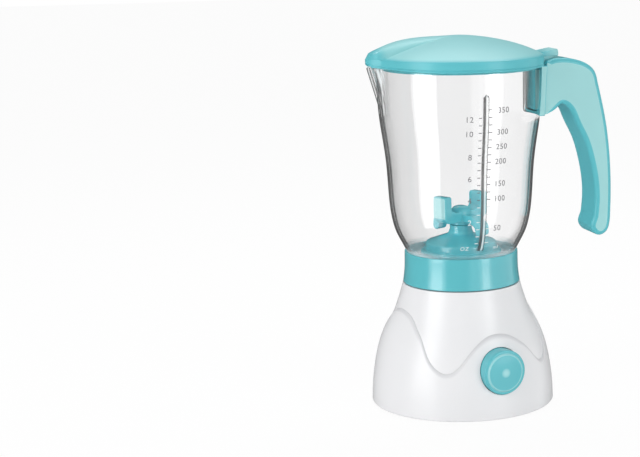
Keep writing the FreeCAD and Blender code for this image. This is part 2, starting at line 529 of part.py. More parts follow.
# ---- Handle: two moulded halves with a tongue in the jar's slot, and a fork for the lid's hinge ----
GRIP = outline(
    (45.2, 156.3), (52.6, 159.6),
    [(55.6, 161.9), (59.2, 160.2), (63.4, 152.6), (68.6, 142.3), (72.2, 131.5), (74.6, 120), (75.4, 108),
     (74.6, 98.6)],
    [(72.9, 94.6), (73.6, 90.9), (77.9, 87.6), (82.4, 89.4), (84.6, 95.5)],
    [(85.1, 108), (84.9, 123), (83.9, 137), (81.9, 151.5), (79.3, 163.8), (76.9, 173.6)],
    [(75.3, 178.8), (71.4, 182.8), (65.8, 185.3), (60.0, 186.6), (54.5, 187.0), (50.5, 186.6), (47.6, 185.6)],
    (46.7, 184.6), (46.6, 181))
FLANGE = outline((41.4, 156.1), (45.3, 156.1), (46.8, 183.2), (42.4, 183.2))


def handle_form():
    grip = slab(GRIP, -HANDLE_HALF, HANDLE_HALF)
    flange = slab(FLANGE, -11.4, 11.4).cut(jar_form(-0.12, JAR_BOTTOM))
    tongue = block(POCKET_X + 0.3, 45.3, -POCKET_Y + 0.4, POCKET_Y - 0.4, POCKET_LOW + 0.5, 181.2)
    thumb_slot = block(46, 62.3, -6.5, 6.5, 176.4, 190)
    return joined(grip, flange, tongue).cut(thumb_slot).cut(
        flat_rod(PIN_R, -9, 9, HINGE_X, HINGE_Z))


def handle_hollow():
    """The space inside the two halves, in the grip below the hinge."""
    inner = [(66.8, 151), (71.0, 141), (74.6, 130), (77.0, 119), (77.8, 108), (77.0, 98)]
    outer = [(82.6, 108), (82.4, 122), (81.4, 136), (79.4, 150.6), (76.8, 162)]
    return slab(outline(inner[0], inner[1:], [(77.4, 92.4), (80.9, 93.4), (82.2, 98)], outer,
                        (74.2, 170), (64.4, 158)), -HANDLE_HALF + 2.2, HANDLE_HALF - 2.2)


HANDLE_SCREWS = [(62.0, 168.5), (79.6, 103.5), (76.8, 142.0)]
handle = handle_form()
bosses = [flat_rod(2.8, -HANDLE_HALF + 1, HANDLE_HALF - 1, x, z) for x, z in HANDLE_SCREWS[1:]]
shell = joined(handle.cut(handle_hollow()), *bosses)
seat = HANDLE_HALF - 3.4  # the screw heads rest at this depth in the back half
holes = [flat_rod(1.25, -seat - 0.5, 7, x, z) for x, z in HANDLE_SCREWS]
heads = [flat_rod(2.6, -HANDLE_HALF - 1, -seat, x, z) for x, z in HANDLE_SCREWS]
shell = shell.cut(group(holes + heads))
keep("handle_front", shell.common(block(30, 100, -20, 0, 80, 190)))
keep("handle_back", shell.common(block(30, 100, 0, 20, 80, 190)))
keep("handle_screws", group([
    joined(flat_rod(2.4, -seat - 1.4, -seat, x, z), flat_rod(1.2, -seat - 0.4, 6.5, x, z))
    for x, z in HANDLE_SCREWS]))
keep("hinge_pin", flat_rod(PIN_R, -8.9, 8.9, HINGE_X, HINGE_Z))


# ---- Lid: a low dome with a nose over the spout, a thumb tab and the hinge's barrel ----
def lid_form(shrink, low):
    dome = [(r - shrink, z - shrink) for r, z in LID_DOME[:-1]] + [(0, LID_DOME[-1][1] - shrink)]
    return turned(outline((0, low), (LID_R - shrink, low), (LID_R - shrink, 189.5 - shrink), dome[0],
                          dome[1:]))


def nose_form(shrink, low):
    """The leaf-shaped rise that runs from the middle of the dome out over the spout."""
    ridge = outline((0, low), (0, 200.4 - shrink), [(-r + shrink * r / 52, z - shrink) for r, z in (
        (14.9, 200.4), (28.3, 199.5), (38.3, 197.3), (46, 194.5), (50.4, 192.0), (51.9, 189.0))],
        (-52.0 + shrink, low))
    plan = [(-8, 4.6), (-20, 8.9), (-31, 11.4), (-40, 11.2), (-45.4, 8.6)]
    plan = [at(x, y - shrink, low) for x, y in plan]
    side = Part.BSplineCurve()
    side.interpolate(plan)
    other = Part.BSplineCurve()
    other.interpolate([at(p.x, -p.y, low) for p in reversed(plan)])
    tip = at(-52.0 + shrink, 0, low)
    through = at(-50.2 + shrink, 4.6 - shrink, low)
    end = at(-45.4, 8.6 - shrink, low)
    wire = Part.Wire([side.toShape(), Part.Arc(end, through, tip).toShape(),
                      Part.Arc(tip, at(through.x, -through.y, low), at(end.x, -end.y, low)).toShape(),
                      other.toShape(), Part.makeLine(at(-8, -4.6 + shrink, low), at(-8, 4.6 - shrink, low))])
    return slab(ridge, -14, 14).common(Part.Face(wire).extrude(at(0, 0, 24)))


def lid():
    outside = lid_form(0, LID_LOW).fuse(nose_form(0, LID_LOW))
    inside = lid_form(LID_WALL, LID_LOW - 1).common(rod(60, LID_LOW + 2.6, 205)).fuse(
        nose_form(LID_WALL, LID_LOW + 3.8)).fuse(rod(40.9, LID_LOW - 1, LID_LOW + 3))
    below = slab(outline(*rim_line(LID_LOW), (-53, LID_LOW - 1), (-24, LID_LOW - 1)), -50, 50)
    beak = slab(outline((-49.8, LID_LOW + 1), (-52.6, LID_LOW + 3.7), (-53, LID_LOW + 1)), -30, 30)
    lip = tube(42.3, 40.9, LID_LOW - 1.05, LID_LOW + 2.8).cut(block(30, 50, -14, 14, 180, 186))
    barrel = flat_rod(2.6, -5.8, 5.8, HINGE_X, HINGE_Z)
    lug = slab(outline((46.7, HINGE_Z), (51.9, HINGE_Z), (52.4, 188.4), (46.7, 188.4)), -5.8, 5.8)
    bridge = block(44.4, 48, -5.8, 5.8, LID_LOW + 0.6, 190)
    tab = slab(outline((43.6, 187.8), (54.4, 187.8), ((55.1, 188.1), (55.3, 188.9)), (55.1, 190.7),
                       ((54.7, 191.5), (53.8, 191.8)), (43.6, 190.0)), -6, 6)
    solid = joined(outside.cut(inside).cut(below).cut(beak), lip, barrel, lug, bridge, tab)
    return solid.cut(flat_rod(PIN_R + 0.05, -9, 9, HINGE_X, HINGE_Z))


keep("lid", lid())
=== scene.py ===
# %% [markdown]
# # A toy blender, piece by piece
#
# This lesson dresses the solid model of a toy blender. The solids come in as a frame that never moves,
# and each visible piece is made again as a fine mesh in the same place, with a finish of its own.
# All sizes in the cells are in millimetres and become metres when a mesh is made.

# %% Load the solid model
import json
from math import atan2, ceil, cos, degrees, hypot, pi, radians, sin, tan

import bmesh
import bpy
import numpy as np
from mathutils import Matrix, Vector


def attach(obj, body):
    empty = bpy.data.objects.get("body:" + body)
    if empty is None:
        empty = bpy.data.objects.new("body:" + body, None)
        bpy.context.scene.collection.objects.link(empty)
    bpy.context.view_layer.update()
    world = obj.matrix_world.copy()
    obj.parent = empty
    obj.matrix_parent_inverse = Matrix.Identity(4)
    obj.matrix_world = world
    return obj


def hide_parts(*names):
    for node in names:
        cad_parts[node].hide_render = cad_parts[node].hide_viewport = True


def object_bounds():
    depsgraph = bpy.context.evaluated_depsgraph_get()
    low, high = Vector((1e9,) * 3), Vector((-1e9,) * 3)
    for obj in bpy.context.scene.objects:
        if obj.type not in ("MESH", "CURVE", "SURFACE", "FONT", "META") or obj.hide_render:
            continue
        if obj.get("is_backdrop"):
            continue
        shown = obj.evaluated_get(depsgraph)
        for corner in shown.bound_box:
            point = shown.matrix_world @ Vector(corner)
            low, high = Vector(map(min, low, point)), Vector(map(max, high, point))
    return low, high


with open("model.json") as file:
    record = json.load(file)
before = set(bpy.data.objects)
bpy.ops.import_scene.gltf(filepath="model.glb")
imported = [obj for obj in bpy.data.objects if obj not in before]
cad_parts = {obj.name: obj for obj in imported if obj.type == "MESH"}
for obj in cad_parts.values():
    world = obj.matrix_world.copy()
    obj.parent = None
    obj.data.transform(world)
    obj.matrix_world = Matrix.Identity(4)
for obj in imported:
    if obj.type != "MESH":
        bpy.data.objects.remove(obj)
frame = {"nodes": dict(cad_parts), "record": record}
solid_box = [list(corner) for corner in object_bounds()]

# %% [markdown]
# ## Helpers for objects and node trees
#
# Everything in the scene is an object with its data. Every material, the sky and the row of scale marks
# are node trees. These helpers make a node, set it and wire it in one call, so that each tree reads like a
# recipe.

# %% Object and node helpers
def linked(name, data):
    """A new object in the scene, from its data."""
    made = bpy.data.objects.new(name, data)
    bpy.context.collection.objects.link(made)
    return made


def add(tree, kind, sockets=(), **settings):
    """A node in a tree. Each socket, by name or number, gets a value or another node's output."""
    node = tree.nodes.new(kind)
    for name, value in settings.items():
        setattr(node, name, value)
    for socket, value in dict(sockets).items():
        if isinstance(value, bpy.types.NodeSocket):
            tree.links.new(value, node.inputs[socket])
        else:
            node.inputs[socket].default_value = value
    return node


def math(tree, operation, *inputs):
    """The result of a Math node; the largest of two is held between 0 and 1."""
    return add(tree, "ShaderNodeMath", enumerate(inputs), operation=operation,
               use_clamp=operation == "MAXIMUM").outputs[0]


def soft_step(tree, value, start, full, low, high, kind="SMOOTHSTEP"):
    """A soft step from low to high as a value goes from start to full."""
    return add(tree, "ShaderNodeMapRange", enumerate((value, start, full, low, high)),
               interpolation_type=kind).outputs[0]


def mixed(tree, share, first, second):
    """One shader where the share is 0, the other where it is 1."""
    return add(tree, "ShaderNodeMixShader", {0: share, 1: first, 2: second}).outputs[0]


def noise(tree, scale, detail):
    """Soft noise from the object's own coordinates."""
    where = add(tree, "ShaderNodeTexCoord").outputs["Object"]
    return add(tree, "ShaderNodeTexNoise", {"Vector": where, "Scale": scale, "Detail": detail}).outputs["Fac"]


def plain_material(name):
    """A material with an empty node tree."""
    material = bpy.data.materials.new(name)
    material.use_nodes = True
    material.node_tree.nodes.clear()
    return material, material.node_tree


def add_sockets(tree, way, *sockets):
    """Inputs or outputs for a node group, each (name, kind) or (name, kind, value): their identifiers."""
    made = {}
    for name, kind, *value in sockets:
        socket = tree.interface.new_socket(name=name, in_out=way, socket_type="NodeSocket" + kind)
        made[name] = socket.identifier
        if value:
            socket.default_value = value[0]
    return made


print("node helpers ready")

# %% [markdown]
# ## The camera
#
# A product view from a little above, with a long lens so that the upright lines stay nearly upright.
# The object stands right of the middle of the picture, so the lens is shifted sideways, not turned.

# %% Camera
VIEW_TURN, VIEW_HEIGHT, VIEW_REACH = -18.5, 264.4, 900.0  # degrees, mm above the floor, mm from the axis
AIM_HEIGHT, LENS, ROLL = 100.0, 94.18, -0.0117
camera_data = bpy.data.cameras.new("product_camera")
camera_data.lens, camera_data.sensor_width = LENS, 36.0
camera_data.shift_x, camera_data.shift_y = -0.2198, -0.0137
camera_data.clip_start, camera_data.clip_end = 0.05, 50.0
camera = linked("product_camera", camera_data)
turn = radians(VIEW_TURN)
camera.location = Vector((sin(turn) * VIEW_REACH, -cos(turn) * VIEW_REACH, VIEW_HEIGHT)) / 1000
aim = Vector((0, 0, AIM_HEIGHT / 1000)) - camera.location
camera.rotation_mode = "QUATERNION"
camera.rotation_quaternion = aim.to_track_quat("-Z", "Y") @ Matrix.Rotation(ROLL, 3, "Z").to_quaternion()
bpy.context.scene.camera = camera
print("camera", round(aim.length, 3), "m from its aim")

# %% [markdown]
# ## Light
#
# White plastic wants soft light from many sides, or it looks like paper. A pale sky gives most of it, and
# it is dimmer behind the object, so that the round sides of the white base turn softly grey. What shiny
# plastic mirrors is another matter: a dim room, with one bright wall on the right. Two tall soft boxes,
# left and right of the camera, draw the broad upright streaks that a shiny turned piece shows, and a wide
# panel above draws the white sheen on the lid.

# %% World and lamps
SKY_FRONT, SKY_BACK, SKY_SEEN = 0.58, 0.46, 1.0
ROOM, ROOM_TOP, WALL, WALL_AZIMUTH = 0.12, 0.6, 1.0, 53.5  # what is mirrored, and where the wall is
bpy.context.scene.view_settings.view_transform = "Standard"
world = bpy.data.worlds.new("studio")
bpy.context.scene.world = world
world.use_nodes = True
tree = world.node_tree
way = add(tree, "ShaderNodeTexCoord").outputs["Generated"]
split = add(tree, "ShaderNodeSeparateXYZ", {0: way}).outputs
toward = add(tree, "ShaderNodeVectorMath", {  # how nearly a direction points at the bright wall
    0: way, 1: (sin(radians(WALL_AZIMUTH)), -cos(radians(WALL_AZIMUTH)), 0.0)}, operation="DOT_PRODUCT")
path = add(tree, "ShaderNodeLightPath").outputs
lit = soft_step(tree, split["Y"], -0.5, 0.6, SKY_FRONT, SKY_BACK)  # from the front, -Y, to the back
wall = soft_step(tree, toward.outputs["Value"], 0.5, 0.62, ROOM, WALL)
room = soft_step(tree, split["Z"], 0.35, 0.8, wall, ROOM_TOP)
mirrored = soft_step(tree, path["Is Glossy Ray"], 0.0, 1.0, lit, room)
seen = math(tree, "MAXIMUM", path["Is Camera Ray"], path["Is Transmission Ray"])
sky = tree.nodes["Background"]
sky.inputs["Color"].default_value = (1, 1, 1, 1)
tree.links.new(soft_step(tree, seen, 0.0, 1.0, mirrored, SKY_SEEN), sky.inputs["Strength"])


def soft_box(name, azimuth, elevation, distance, width, height, glow, lights=True):
    """A rectangular lamp of an even glow that faces the object; azimuth 0 is in front, along -Y. One that
    doesn't light is only mirrored."""
    lamp = bpy.data.lights.new(name, "AREA")
    lamp.shape, lamp.size, lamp.size_y = "RECTANGLE", width, height
    lamp.energy = glow * pi * width * height
    box = linked(name, lamp)
    a, e = radians(azimuth), radians(elevation)
    away = Vector((sin(a) * cos(e), -cos(a) * cos(e), sin(e)))
    box.location = away * distance + Vector((0, 0, 0.1))
    box.rotation_mode = "QUATERNION"
    box.rotation_quaternion = away.to_track_quat("Z", "Y")
    box.visible_diffuse = lights
    print("lamp", name, [round(v, 2) for v in box.location], round(lamp.energy, 2), "W")


soft_box("left_box", -68, 12, 0.9, 0.4, 0.8, 3.4)
soft_box("right_box", 31, 12, 0.9, 0.26, 0.8, 3.0)
soft_box("left_gleam", -68, 6, 0.88, 0.6, 1.3, 1.8, lights=False)
soft_box("right_gleam", 31, 6, 0.88, 0.42, 1.3, 0.9, lights=False)
soft_box("back_panel", 161.5, 62, 0.8, 0.6, 0.22, 6.5)

# %% [markdown]
# ## The floor
#
# A plain white floor. Seen by the camera it is lifted towards white, as a photographer's sweep is, and it
# still takes the object's shadow. Mirror rays pass it, so that the upright streaks run down to the foot.

# %% Floor
FLOOR_SIDE, FLOOR_LIFT = 9.0, 0.94
half = FLOOR_SIDE / 2
floor_mesh = bpy.data.meshes.new("floor")
floor_mesh.from_pydata([(-half, -half, 0), (half, -half, 0), (half, half, 0), (-half, half, 0)], [],
                       [(0, 1, 2, 3)])
floor = linked("floor", floor_mesh)
material, tree = plain_material("white_sweep")
path = add(tree, "ShaderNodeLightPath").outputs
paper = add(tree, "ShaderNodeBsdfDiffuse", {"Color": (0.93, 0.93, 0.93, 1)})
glow, passed = add(tree, "ShaderNodeEmission"), add(tree, "ShaderNodeBsdfTransparent")
seen = math(tree, "MAXIMUM", path["Is Camera Ray"], path["Is Transmission Ray"])
lifted = mixed(tree, math(tree, "MULTIPLY", seen, FLOOR_LIFT), paper.outputs[0], glow.outputs[0])
surface = mixed(tree, path["Is Glossy Ray"], lifted, passed.outputs[0])
add(tree, "ShaderNodeOutputMaterial", {"Surface": surface})
floor_mesh.materials.append(material)
floor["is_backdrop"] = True
print("floor", FLOOR_SIDE, "m across")

# %% [markdown]
# ## Moulded plastic
#
# Injection-moulded ABS is smooth, but not perfect: its colour varies a little where the melt flowed, its
# skin has a faint ripple, and its shine changes slowly across a face. One node group makes all three for
# every plastic here, from the object's own coordinates, and each material sets how strong they are.

# %% Node group for a moulded skin
moulded = bpy.data.node_groups.new("moulded_skin", "ShaderNodeTree")
add_sockets(moulded, "INPUT", ("Colour", "Color", (0.8, 0.8, 0.8, 1)), ("Drift", "Float", 0.04),
            ("Shine", "Float", 0.22), ("Ripple", "Float", 0.02), ("Grain", "Float", 900.0))
add_sockets(moulded, "OUTPUT", ("Colour", "Color"), ("Roughness", "Float"), ("Normal", "Vector"))
given = add(moulded, "NodeGroupInput").outputs
flow = soft_step(moulded, noise(moulded, 38.0, 3.0), 0.3, 0.7, -1.0, 1.0, "LINEAR")
drift = math(moulded, "MULTIPLY_ADD", flow, given["Drift"], 1.0)
tone = add(moulded, "ShaderNodeHueSaturation", {"Color": given["Colour"], "Value": drift})
least, most = (math(moulded, "MULTIPLY", given["Shine"], share) for share in (0.94, 1.06))
gloss = soft_step(moulded, noise(moulded, 95.0, 2.0), 0.3, 0.7, least, most, "LINEAR")
relief = math(moulded, "MULTIPLY_ADD", noise(moulded, 2600.0, 1.0), 0.15, noise(moulded, given["Grain"], 2.0))
bump = add(moulded, "ShaderNodeBump", {"Distance": 0.0002, "Strength": given["Ripple"], "Height": relief})
add(moulded, "NodeGroupOutput", {"Colour": tone.outputs["Color"], "Roughness": gloss,
                                 "Normal": bump.outputs["Normal"]})


def moulded_plastic(name, colour, drift=0.03, shine=0.2, ripple=0.05, grain=450.0, coat=0.0, metal=0.0,
                    glow=0.0, mirror=0.5, mark="", marked=(0.8, 0.8, 0.8), marked_shine=0.5):
    """A plastic, rubber or metal with the moulded skin: colour is linear red, green and blue. Where the
    mesh carries the number called mark, the colour and the shine go over to the marked ones."""
    material, tree = plain_material(name)
    tint, gloss = (*colour, 1), shine
    if mark:
        where = add(tree, "ShaderNodeAttribute", attribute_name=mark).outputs["Fac"]
        tint = add(tree, "ShaderNodeMix", {"Factor": where, "A": tint, "B": (*marked, 1)},
                   data_type="RGBA").outputs["Result"]
        gloss = soft_step(tree, where, 0.0, 1.0, shine, marked_shine, "LINEAR")
    skin = add(tree, "ShaderNodeGroup", {"Colour": tint, "Drift": drift, "Shine": gloss, "Ripple": ripple,
                                         "Grain": grain}, node_tree=moulded).outputs
    surface = add(tree, "ShaderNodeBsdfPrincipled", {
        "Base Color": skin["Colour"], "Roughness": skin["Roughness"], "Normal": skin["Normal"],
        "Metallic": metal, "Specular IOR Level": mirror, "Coat Weight": coat, "Coat Roughness": 0.07,
        "Coat IOR": 1.6, "Subsurface Weight": glow, "Subsurface Radius": (0.8, 0.9, 1.0),
        "Subsurface Scale": 0.002})
    add(tree, "ShaderNodeOutputMaterial", {"Surface": surface.outputs[0]})
    return material


# Each marked colour is a painted sheen: a lighter teal where a face would mirror a soft light. The marks also
# make those faces rougher.
TEAL, TEAL_PAINTED_SHEEN = (0.12, 0.53, 0.59), (0.35, 0.68, 0.69)
# The white's marked colour is painted shade in the crease under the wave, and it is a little rougher there
# too.
white_shell = moulded_plastic("white_shell", (0.87, 0.87, 0.885), drift=0.005, shine=0.25, ripple=0.03,
                              mirror=0.35, mark="seam", marked=(0.68, 0.68, 0.7), marked_shine=0.4)
teal_shell = moulded_plastic("teal_shell", TEAL, drift=0.015, shine=0.22, ripple=0.03, mirror=0.4, coat=0.45)
teal_grip = moulded_plastic("teal_grip", TEAL, drift=0.015, shine=0.3, ripple=0.03, mirror=0.3,
                            mark="satin", marked=TEAL_PAINTED_SHEEN)
# A lighter copy of the same teal, painted light for the post and blade, which the lid and jar shade.
teal_inner = moulded_plastic("teal_inner", (0.13, 0.62, 0.7), drift=0.015, shine=0.25, ripple=0.03, coat=0.5,
                             mark="satin", marked=(0.5, 0.85, 0.86), marked_shine=0.4)
teal_button = moulded_plastic("teal_button", TEAL, drift=0.015, shine=0.25, ripple=0.03, mirror=0.3,
                              coat=0.15, mark="satin", marked=(0.45, 0.8, 0.82), marked_shine=0.4)
print("plastics", [m.name for m in (white_shell, teal_shell, teal_grip, teal_inner, teal_button)])

# %% [markdown]
# ## Clear styrene
#
# The jar is clear. Looked at square on, it lets nearly everything through and mirrors a little. At its
# edges one looks along the wall, through many millimetres of plastic, and it turns dark grey. Straight
# through it bends nothing that matters, so it is a see-through shader, a mirror that grows as the wall
# turns away from the eye, and a smoky body that comes in at its edges. The mesh's own numbers add to it:
# thick moves the dark edge in or out. The other numbers are painted: dark places are painted refraction and
# shade, pale ones are painted highlights, and the ring in the collar is painted pale only where it turns
# away.

# %% Clear styrene
MIRROR_LOW, MIRROR_SLOPE, MIRROR_STEEP = 0.05, 0.24, 0.45  # square on, with the turn, and at the very edge
EDGE_START, EDGE_FULL, EDGE_BODY = 0.66, 0.84, 0.92  # how far turned the wall is as it darkens, and how dark
jar_clear, tree = plain_material("clear_styrene")
through = add(tree, "ShaderNodeBsdfTransparent", {"Color": (0.998, 0.998, 0.999, 1)}).outputs[0]
mirror = add(tree, "ShaderNodeBsdfGlossy", {"Roughness": 0.05}).outputs[0]
facing = add(tree, "ShaderNodeLayerWeight", {"Blend": 0.5}).outputs["Facing"]
path = add(tree, "ShaderNodeLightPath").outputs
# Three of these numbers paint light and shade into the clear: dark places, pale highlights and the pale foot
# ring.
thick, smoke, frost, foot = (add(tree, "ShaderNodeAttribute", attribute_name=word).outputs["Fac"]
                             for word in ("thick", "smoke", "frost", "foot"))
steep = math(tree, "MULTIPLY_ADD", math(tree, "POWER", facing, 5.0), MIRROR_STEEP, MIRROR_LOW)
strength = math(tree, "MULTIPLY", math(tree, "MULTIPLY_ADD", facing, MIRROR_SLOPE, steep),
                soft_step(tree, thick, -1.2, -0.6, 0.08, 1.0))
near_wall = math(tree, "LESS_THAN", path["Transparent Depth"], 1.5)  # the far wall mirrors less
share = math(tree, "MULTIPLY", strength, math(tree, "MULTIPLY_ADD", near_wall, 0.75, 0.25))
pane = mixed(tree, share, through, mirror)
edge = soft_step(tree, math(tree, "MULTIPLY_ADD", thick, 0.22, facing), EDGE_START, EDGE_FULL, 0.0, EDGE_BODY)
grey = soft_step(tree, noise(tree, 30.0, 2.0), 0.3, 0.7, 0.05, 0.14)
tone = add(tree, "ShaderNodeCombineColor", {"Red": grey, "Green": grey, "Blue": grey}).outputs[0]
dark = add(tree, "ShaderNodeBsdfPrincipled", {"Base Color": tone, "Roughness": 0.12}).outputs[0]
# The pale shader for the painted highlights and the painted pale foot ring.
white = add(tree, "ShaderNodeBsdfPrincipled", {"Base Color": (0.88, 0.9, 0.91, 1),
                                               "Roughness": 0.3}).outputs[0]
# Dark where the wall turns away, and painted dark refraction and shade at fixed places.
smoky_and_painted_dark = mixed(tree, math(tree, "MAXIMUM", edge, smoke), pane, dark)
turned_foot = math(tree, "MULTIPLY", foot, soft_step(tree, facing, 0.2, 0.5, 0.15, 1.0))
pale = mixed(tree, math(tree, "MAXIMUM", frost, turned_foot), smoky_and_painted_dark, white)
soft_ray = math(tree, "MAXIMUM", path["Is Shadow Ray"], path["Is Diffuse Ray"])
surface = mixed(tree, math(tree, "MULTIPLY", soft_ray, 0.96), pale, through)
add(tree, "ShaderNodeOutputMaterial", {"Surface": surface})
print("clear", jar_clear.name, len(tree.nodes), "nodes")

# %% [markdown]
# ## Ways of making meshes
#
# Most pieces are turned, so they come from an outline in radius and height. An outline is a list of
# corners, of corners with a rounding, and of smooth curves. The rest are flat outlines made thick, with
# rounded edges, or grids that follow a rule.

# %% Curves and outlines
TINY, ARC_STEP = 1e-6, 14.0  # a length that counts as none, and the degrees between points of an arc


def held(value, low=0.0, high=1.0):
    """A value kept between two limits."""
    return min(max(value, low), high)


def eased(share):
    """From 0 to 1 with a soft start and end."""
    return (1 - cos(pi * held(share))) / 2


def ordered(*runs):
    """The numbers of several runs in one order, each only once."""
    return sorted({round(value, 3) for value in np.concatenate(runs)})


def peak(x, middle, half):
    """1 at the middle and 0 beyond half on each side of it, with a soft fall."""
    return max(1 - ((x - middle) / half) ** 2, 0.0) ** 0.5 if abs(x - middle) < half else 0.0


def smooth_through(points, step=1.0):
    """Points on a smooth curve through the given ones, about a step apart."""
    p = np.array(points, float)
    t = np.concatenate([[0], np.cumsum(np.linalg.norm(np.diff(p, axis=0), axis=1))])
    n, h = len(t), np.diff(t)
    system, right = np.eye(n), np.zeros((n, p.shape[1]))
    for i in range(1, n - 1):
        system[i, i - 1:i + 2] = h[i - 1], 2 * (h[i - 1] + h[i]), h[i]
        right[i] = 6 * ((p[i + 1] - p[i]) / h[i] - (p[i] - p[i - 1]) / h[i - 1])
    bend = np.linalg.solve(system, right)
    s = np.linspace(0, t[-1], max(2, ceil(t[-1] / step) + 1))
    k = np.clip(np.searchsorted(t, s, side="right") - 1, 0, n - 2)
    a, b, hk = (t[k + 1] - s)[:, None], (s - t[k])[:, None], h[k][:, None]
    curve = ((bend[k] * a ** 3 + bend[k + 1] * b ** 3) / (6 * hk) + (p[k] / hk - bend[k] * hk / 6) * a
             + (p[k + 1] / hk - bend[k + 1] * hk / 6) * b)
    return [tuple(point) for point in curve]


def outline(*steps, closed=True):
    """An outline: (x, z) is a corner, (x, z, r) a corner rounded to r, and a list is a smooth curve."""
    corners = []
    for step in steps:
        corners += [(x, z, 0.0) for x, z in smooth_through(step)] if isinstance(step, list) else [
            step if len(step) == 3 else (*step, 0.0)]
    points = []
    for i, (x, z, r) in enumerate(corners):
        if r <= 0 or (not closed and i in (0, len(corners) - 1)):
            points.append((x, z))
            continue
        here = Vector((x, z))
        back = Vector(corners[i - 1][:2]) - here
        on = Vector(corners[(i + 1) % len(corners)][:2]) - here
        half_turn = (pi - back.angle(on)) / 2
        reach = min(r * tan(half_turn), back.length * 0.49, on.length * 0.49)
        r = reach / tan(half_turn)
        middle = here + (back.normalized() + on.normalized()).normalized() * (r / cos(half_turn))
        start = here + back.normalized() * reach - middle
        end = here + on.normalized() * reach - middle
        count = max(2, ceil(2 * half_turn / radians(ARC_STEP)) + 1)
        sweep = start.angle_signed(end)
        for k in range(count):
            angle = -sweep * k / (count - 1)
            points.append((middle.x + start.x * cos(angle) - start.y * sin(angle),
                           middle.y + start.x * sin(angle) + start.y * cos(angle)))
    kept = []
    for p in points:
        if not kept or hypot(p[0] - kept[-1][0], p[1] - kept[-1][1]) > 1e-4:
            kept.append(p)
    return kept


def box_outline(x0, x1, z0, z1, r=0.0):
    """A rectangle's outline, its corners rounded to r."""
    return outline((x0, z0, r), (x1, z0, r), (x1, z1, r), (x0, z1, r))


# %% Meshes
def object_from(name, vertices, faces, turn=0.0):
    """A mesh object at the origin, from millimetres, turned about Z in its mesh."""
    mesh = bpy.data.meshes.new(name)
    spin = Matrix.Rotation(radians(turn), 3, "Z")
    mesh.from_pydata([spin @ Vector(v) / 1000 for v in vertices], [], faces)
    return tidy(linked(name, mesh))


def tidy(made, sharp=32.0):
    """Doubles merged, faces turned outwards, smooth shading with sharp edges kept."""
    mesh = bmesh.new()
    mesh.from_mesh(made.data)
    bmesh.ops.remove_doubles(mesh, verts=mesh.verts, dist=1e-6)
    bmesh.ops.dissolve_degenerate(mesh, edges=mesh.edges, dist=1e-7)
    bmesh.ops.recalc_face_normals(mesh, faces=mesh.faces)
    mesh.to_mesh(made.data)
    mesh.free()
    made.data.shade_smooth()
    made.data.set_sharp_from_angle(angle=radians(sharp))
    return made


def rings(loops, closed_rows=True):
    """Vertices and faces from loops of equal length, stacked as rows; a loop of one point is a pole."""
    vertices, starts, sizes, faces = [], [], [], []
    for loop in loops:
        starts.append(len(vertices))
        sizes.append(len(loop))
        vertices += loop
    count = max(sizes)
    for i in range(len(loops) if closed_rows else len(loops) - 1):
        j = (i + 1) % len(loops)
        if sizes[i] == 1 and sizes[j] == 1:
            continue
        for k in range(count):
            m = (k + 1) % count
            a, b = starts[i] + (k if sizes[i] > 1 else 0), starts[i] + (m if sizes[i] > 1 else 0)
            c, d = starts[j] + (m if sizes[j] > 1 else 0), starts[j] + (k if sizes[j] > 1 else 0)
            faces.append(list(dict.fromkeys((a, b, c, d))))
    return vertices, faces


def column_loops(columns, angles):
    """Loops for rings, from upright columns of (radius, height) that stand at angles in degrees."""
    return [[(r * cos(radians(a)), r * sin(radians(a)), z) for a, (r, z) in zip(angles, row)]
            for row in zip(*columns)]


def turned_piece(name, shape, columns=160, turn=0.0, place=None):
    """An outline in radius and height, turned about Z and closed. place moves each point."""
    loops = []
    for r, z in shape:
        ring = [(r * cos(2 * pi * k / columns), r * sin(2 * pi * k / columns), z) for k in range(columns)]
        loops.append(ring if r > TINY else [(0.0, 0.0, z)])
    vertices, faces = rings(loops)
    return object_from(name, [place(v) for v in vertices] if place else vertices, faces, turn)


def flat_piece(name, shape, low, high, bevel=0.0, segments=3, turn=0.0, place=None):
    """A flat outline in the XZ plane, made thick along Y from low to high, with its edges rounded."""
    n = len(shape)
    vertices = [(x, low, z) for x, z in shape] + [(x, high, z) for x, z in shape]
    faces = [list(range(n)), list(range(2 * n - 1, n - 1, -1))]
    faces += [[i, (i + 1) % n, n + (i + 1) % n, n + i] for i in range(n)]
    made = object_from(name, [place(v) for v in vertices] if place else vertices, faces, turn)
    if bevel:
        edge = made.modifiers.new("round", "BEVEL")
        edge.width, edge.segments, edge.limit_method = bevel / 1000, segments, "ANGLE"
        edge.angle_limit = radians(40)
        applied(made)
    return made


def evaluated_mesh(made):
    """A plain mesh with the object's modifiers worked in; the modifiers are taken off."""
    bpy.context.view_layer.update()
    whole = made.evaluated_get(bpy.context.evaluated_depsgraph_get())
    mesh = bpy.data.meshes.new_from_object(whole)
    mesh.name = made.name
    made.modifiers.clear()
    return mesh


def applied(made):
    """Turns an object's modifiers into plain mesh, and tidies it."""
    made.data = evaluated_mesh(made)
    tidy(made)


def mark(made, name, rule):
    """A number on every point of a mesh, from a rule that takes the point's place in millimetres."""
    number = made.data.attributes.new(name, "FLOAT", "POINT")
    number.data.foreach_set("value", [float(rule(*(v.co * 1000))) for v in made.data.vertices])


def mark_flat_sides(made, name):
    """1 on every large flat face that looks along Y, and 0 on the others."""
    number = made.data.attributes.new(name, "FLOAT", "FACE")
    number.data.foreach_set("value", [float(abs(f.normal.y) > 0.995) for f in made.data.polygons])


def joined(made, others):
    """One object that holds several closed meshes side by side."""
    whole = bmesh.new()
    for piece in [made] + others:
        whole.from_mesh(piece.data)
    whole.to_mesh(made.data)
    whole.free()
    for piece in others:
        bpy.data.objects.remove(piece)
    return tidy(made)


def combined(made, others, operation="UNION"):
    """Joins other closed meshes to a piece, or cuts them out of it."""
    for other in others:
        step = made.modifiers.new("join", "BOOLEAN")
        step.operation, step.solver, step.object = operation, "EXACT", other
        applied(made)
        bpy.data.objects.remove(other)


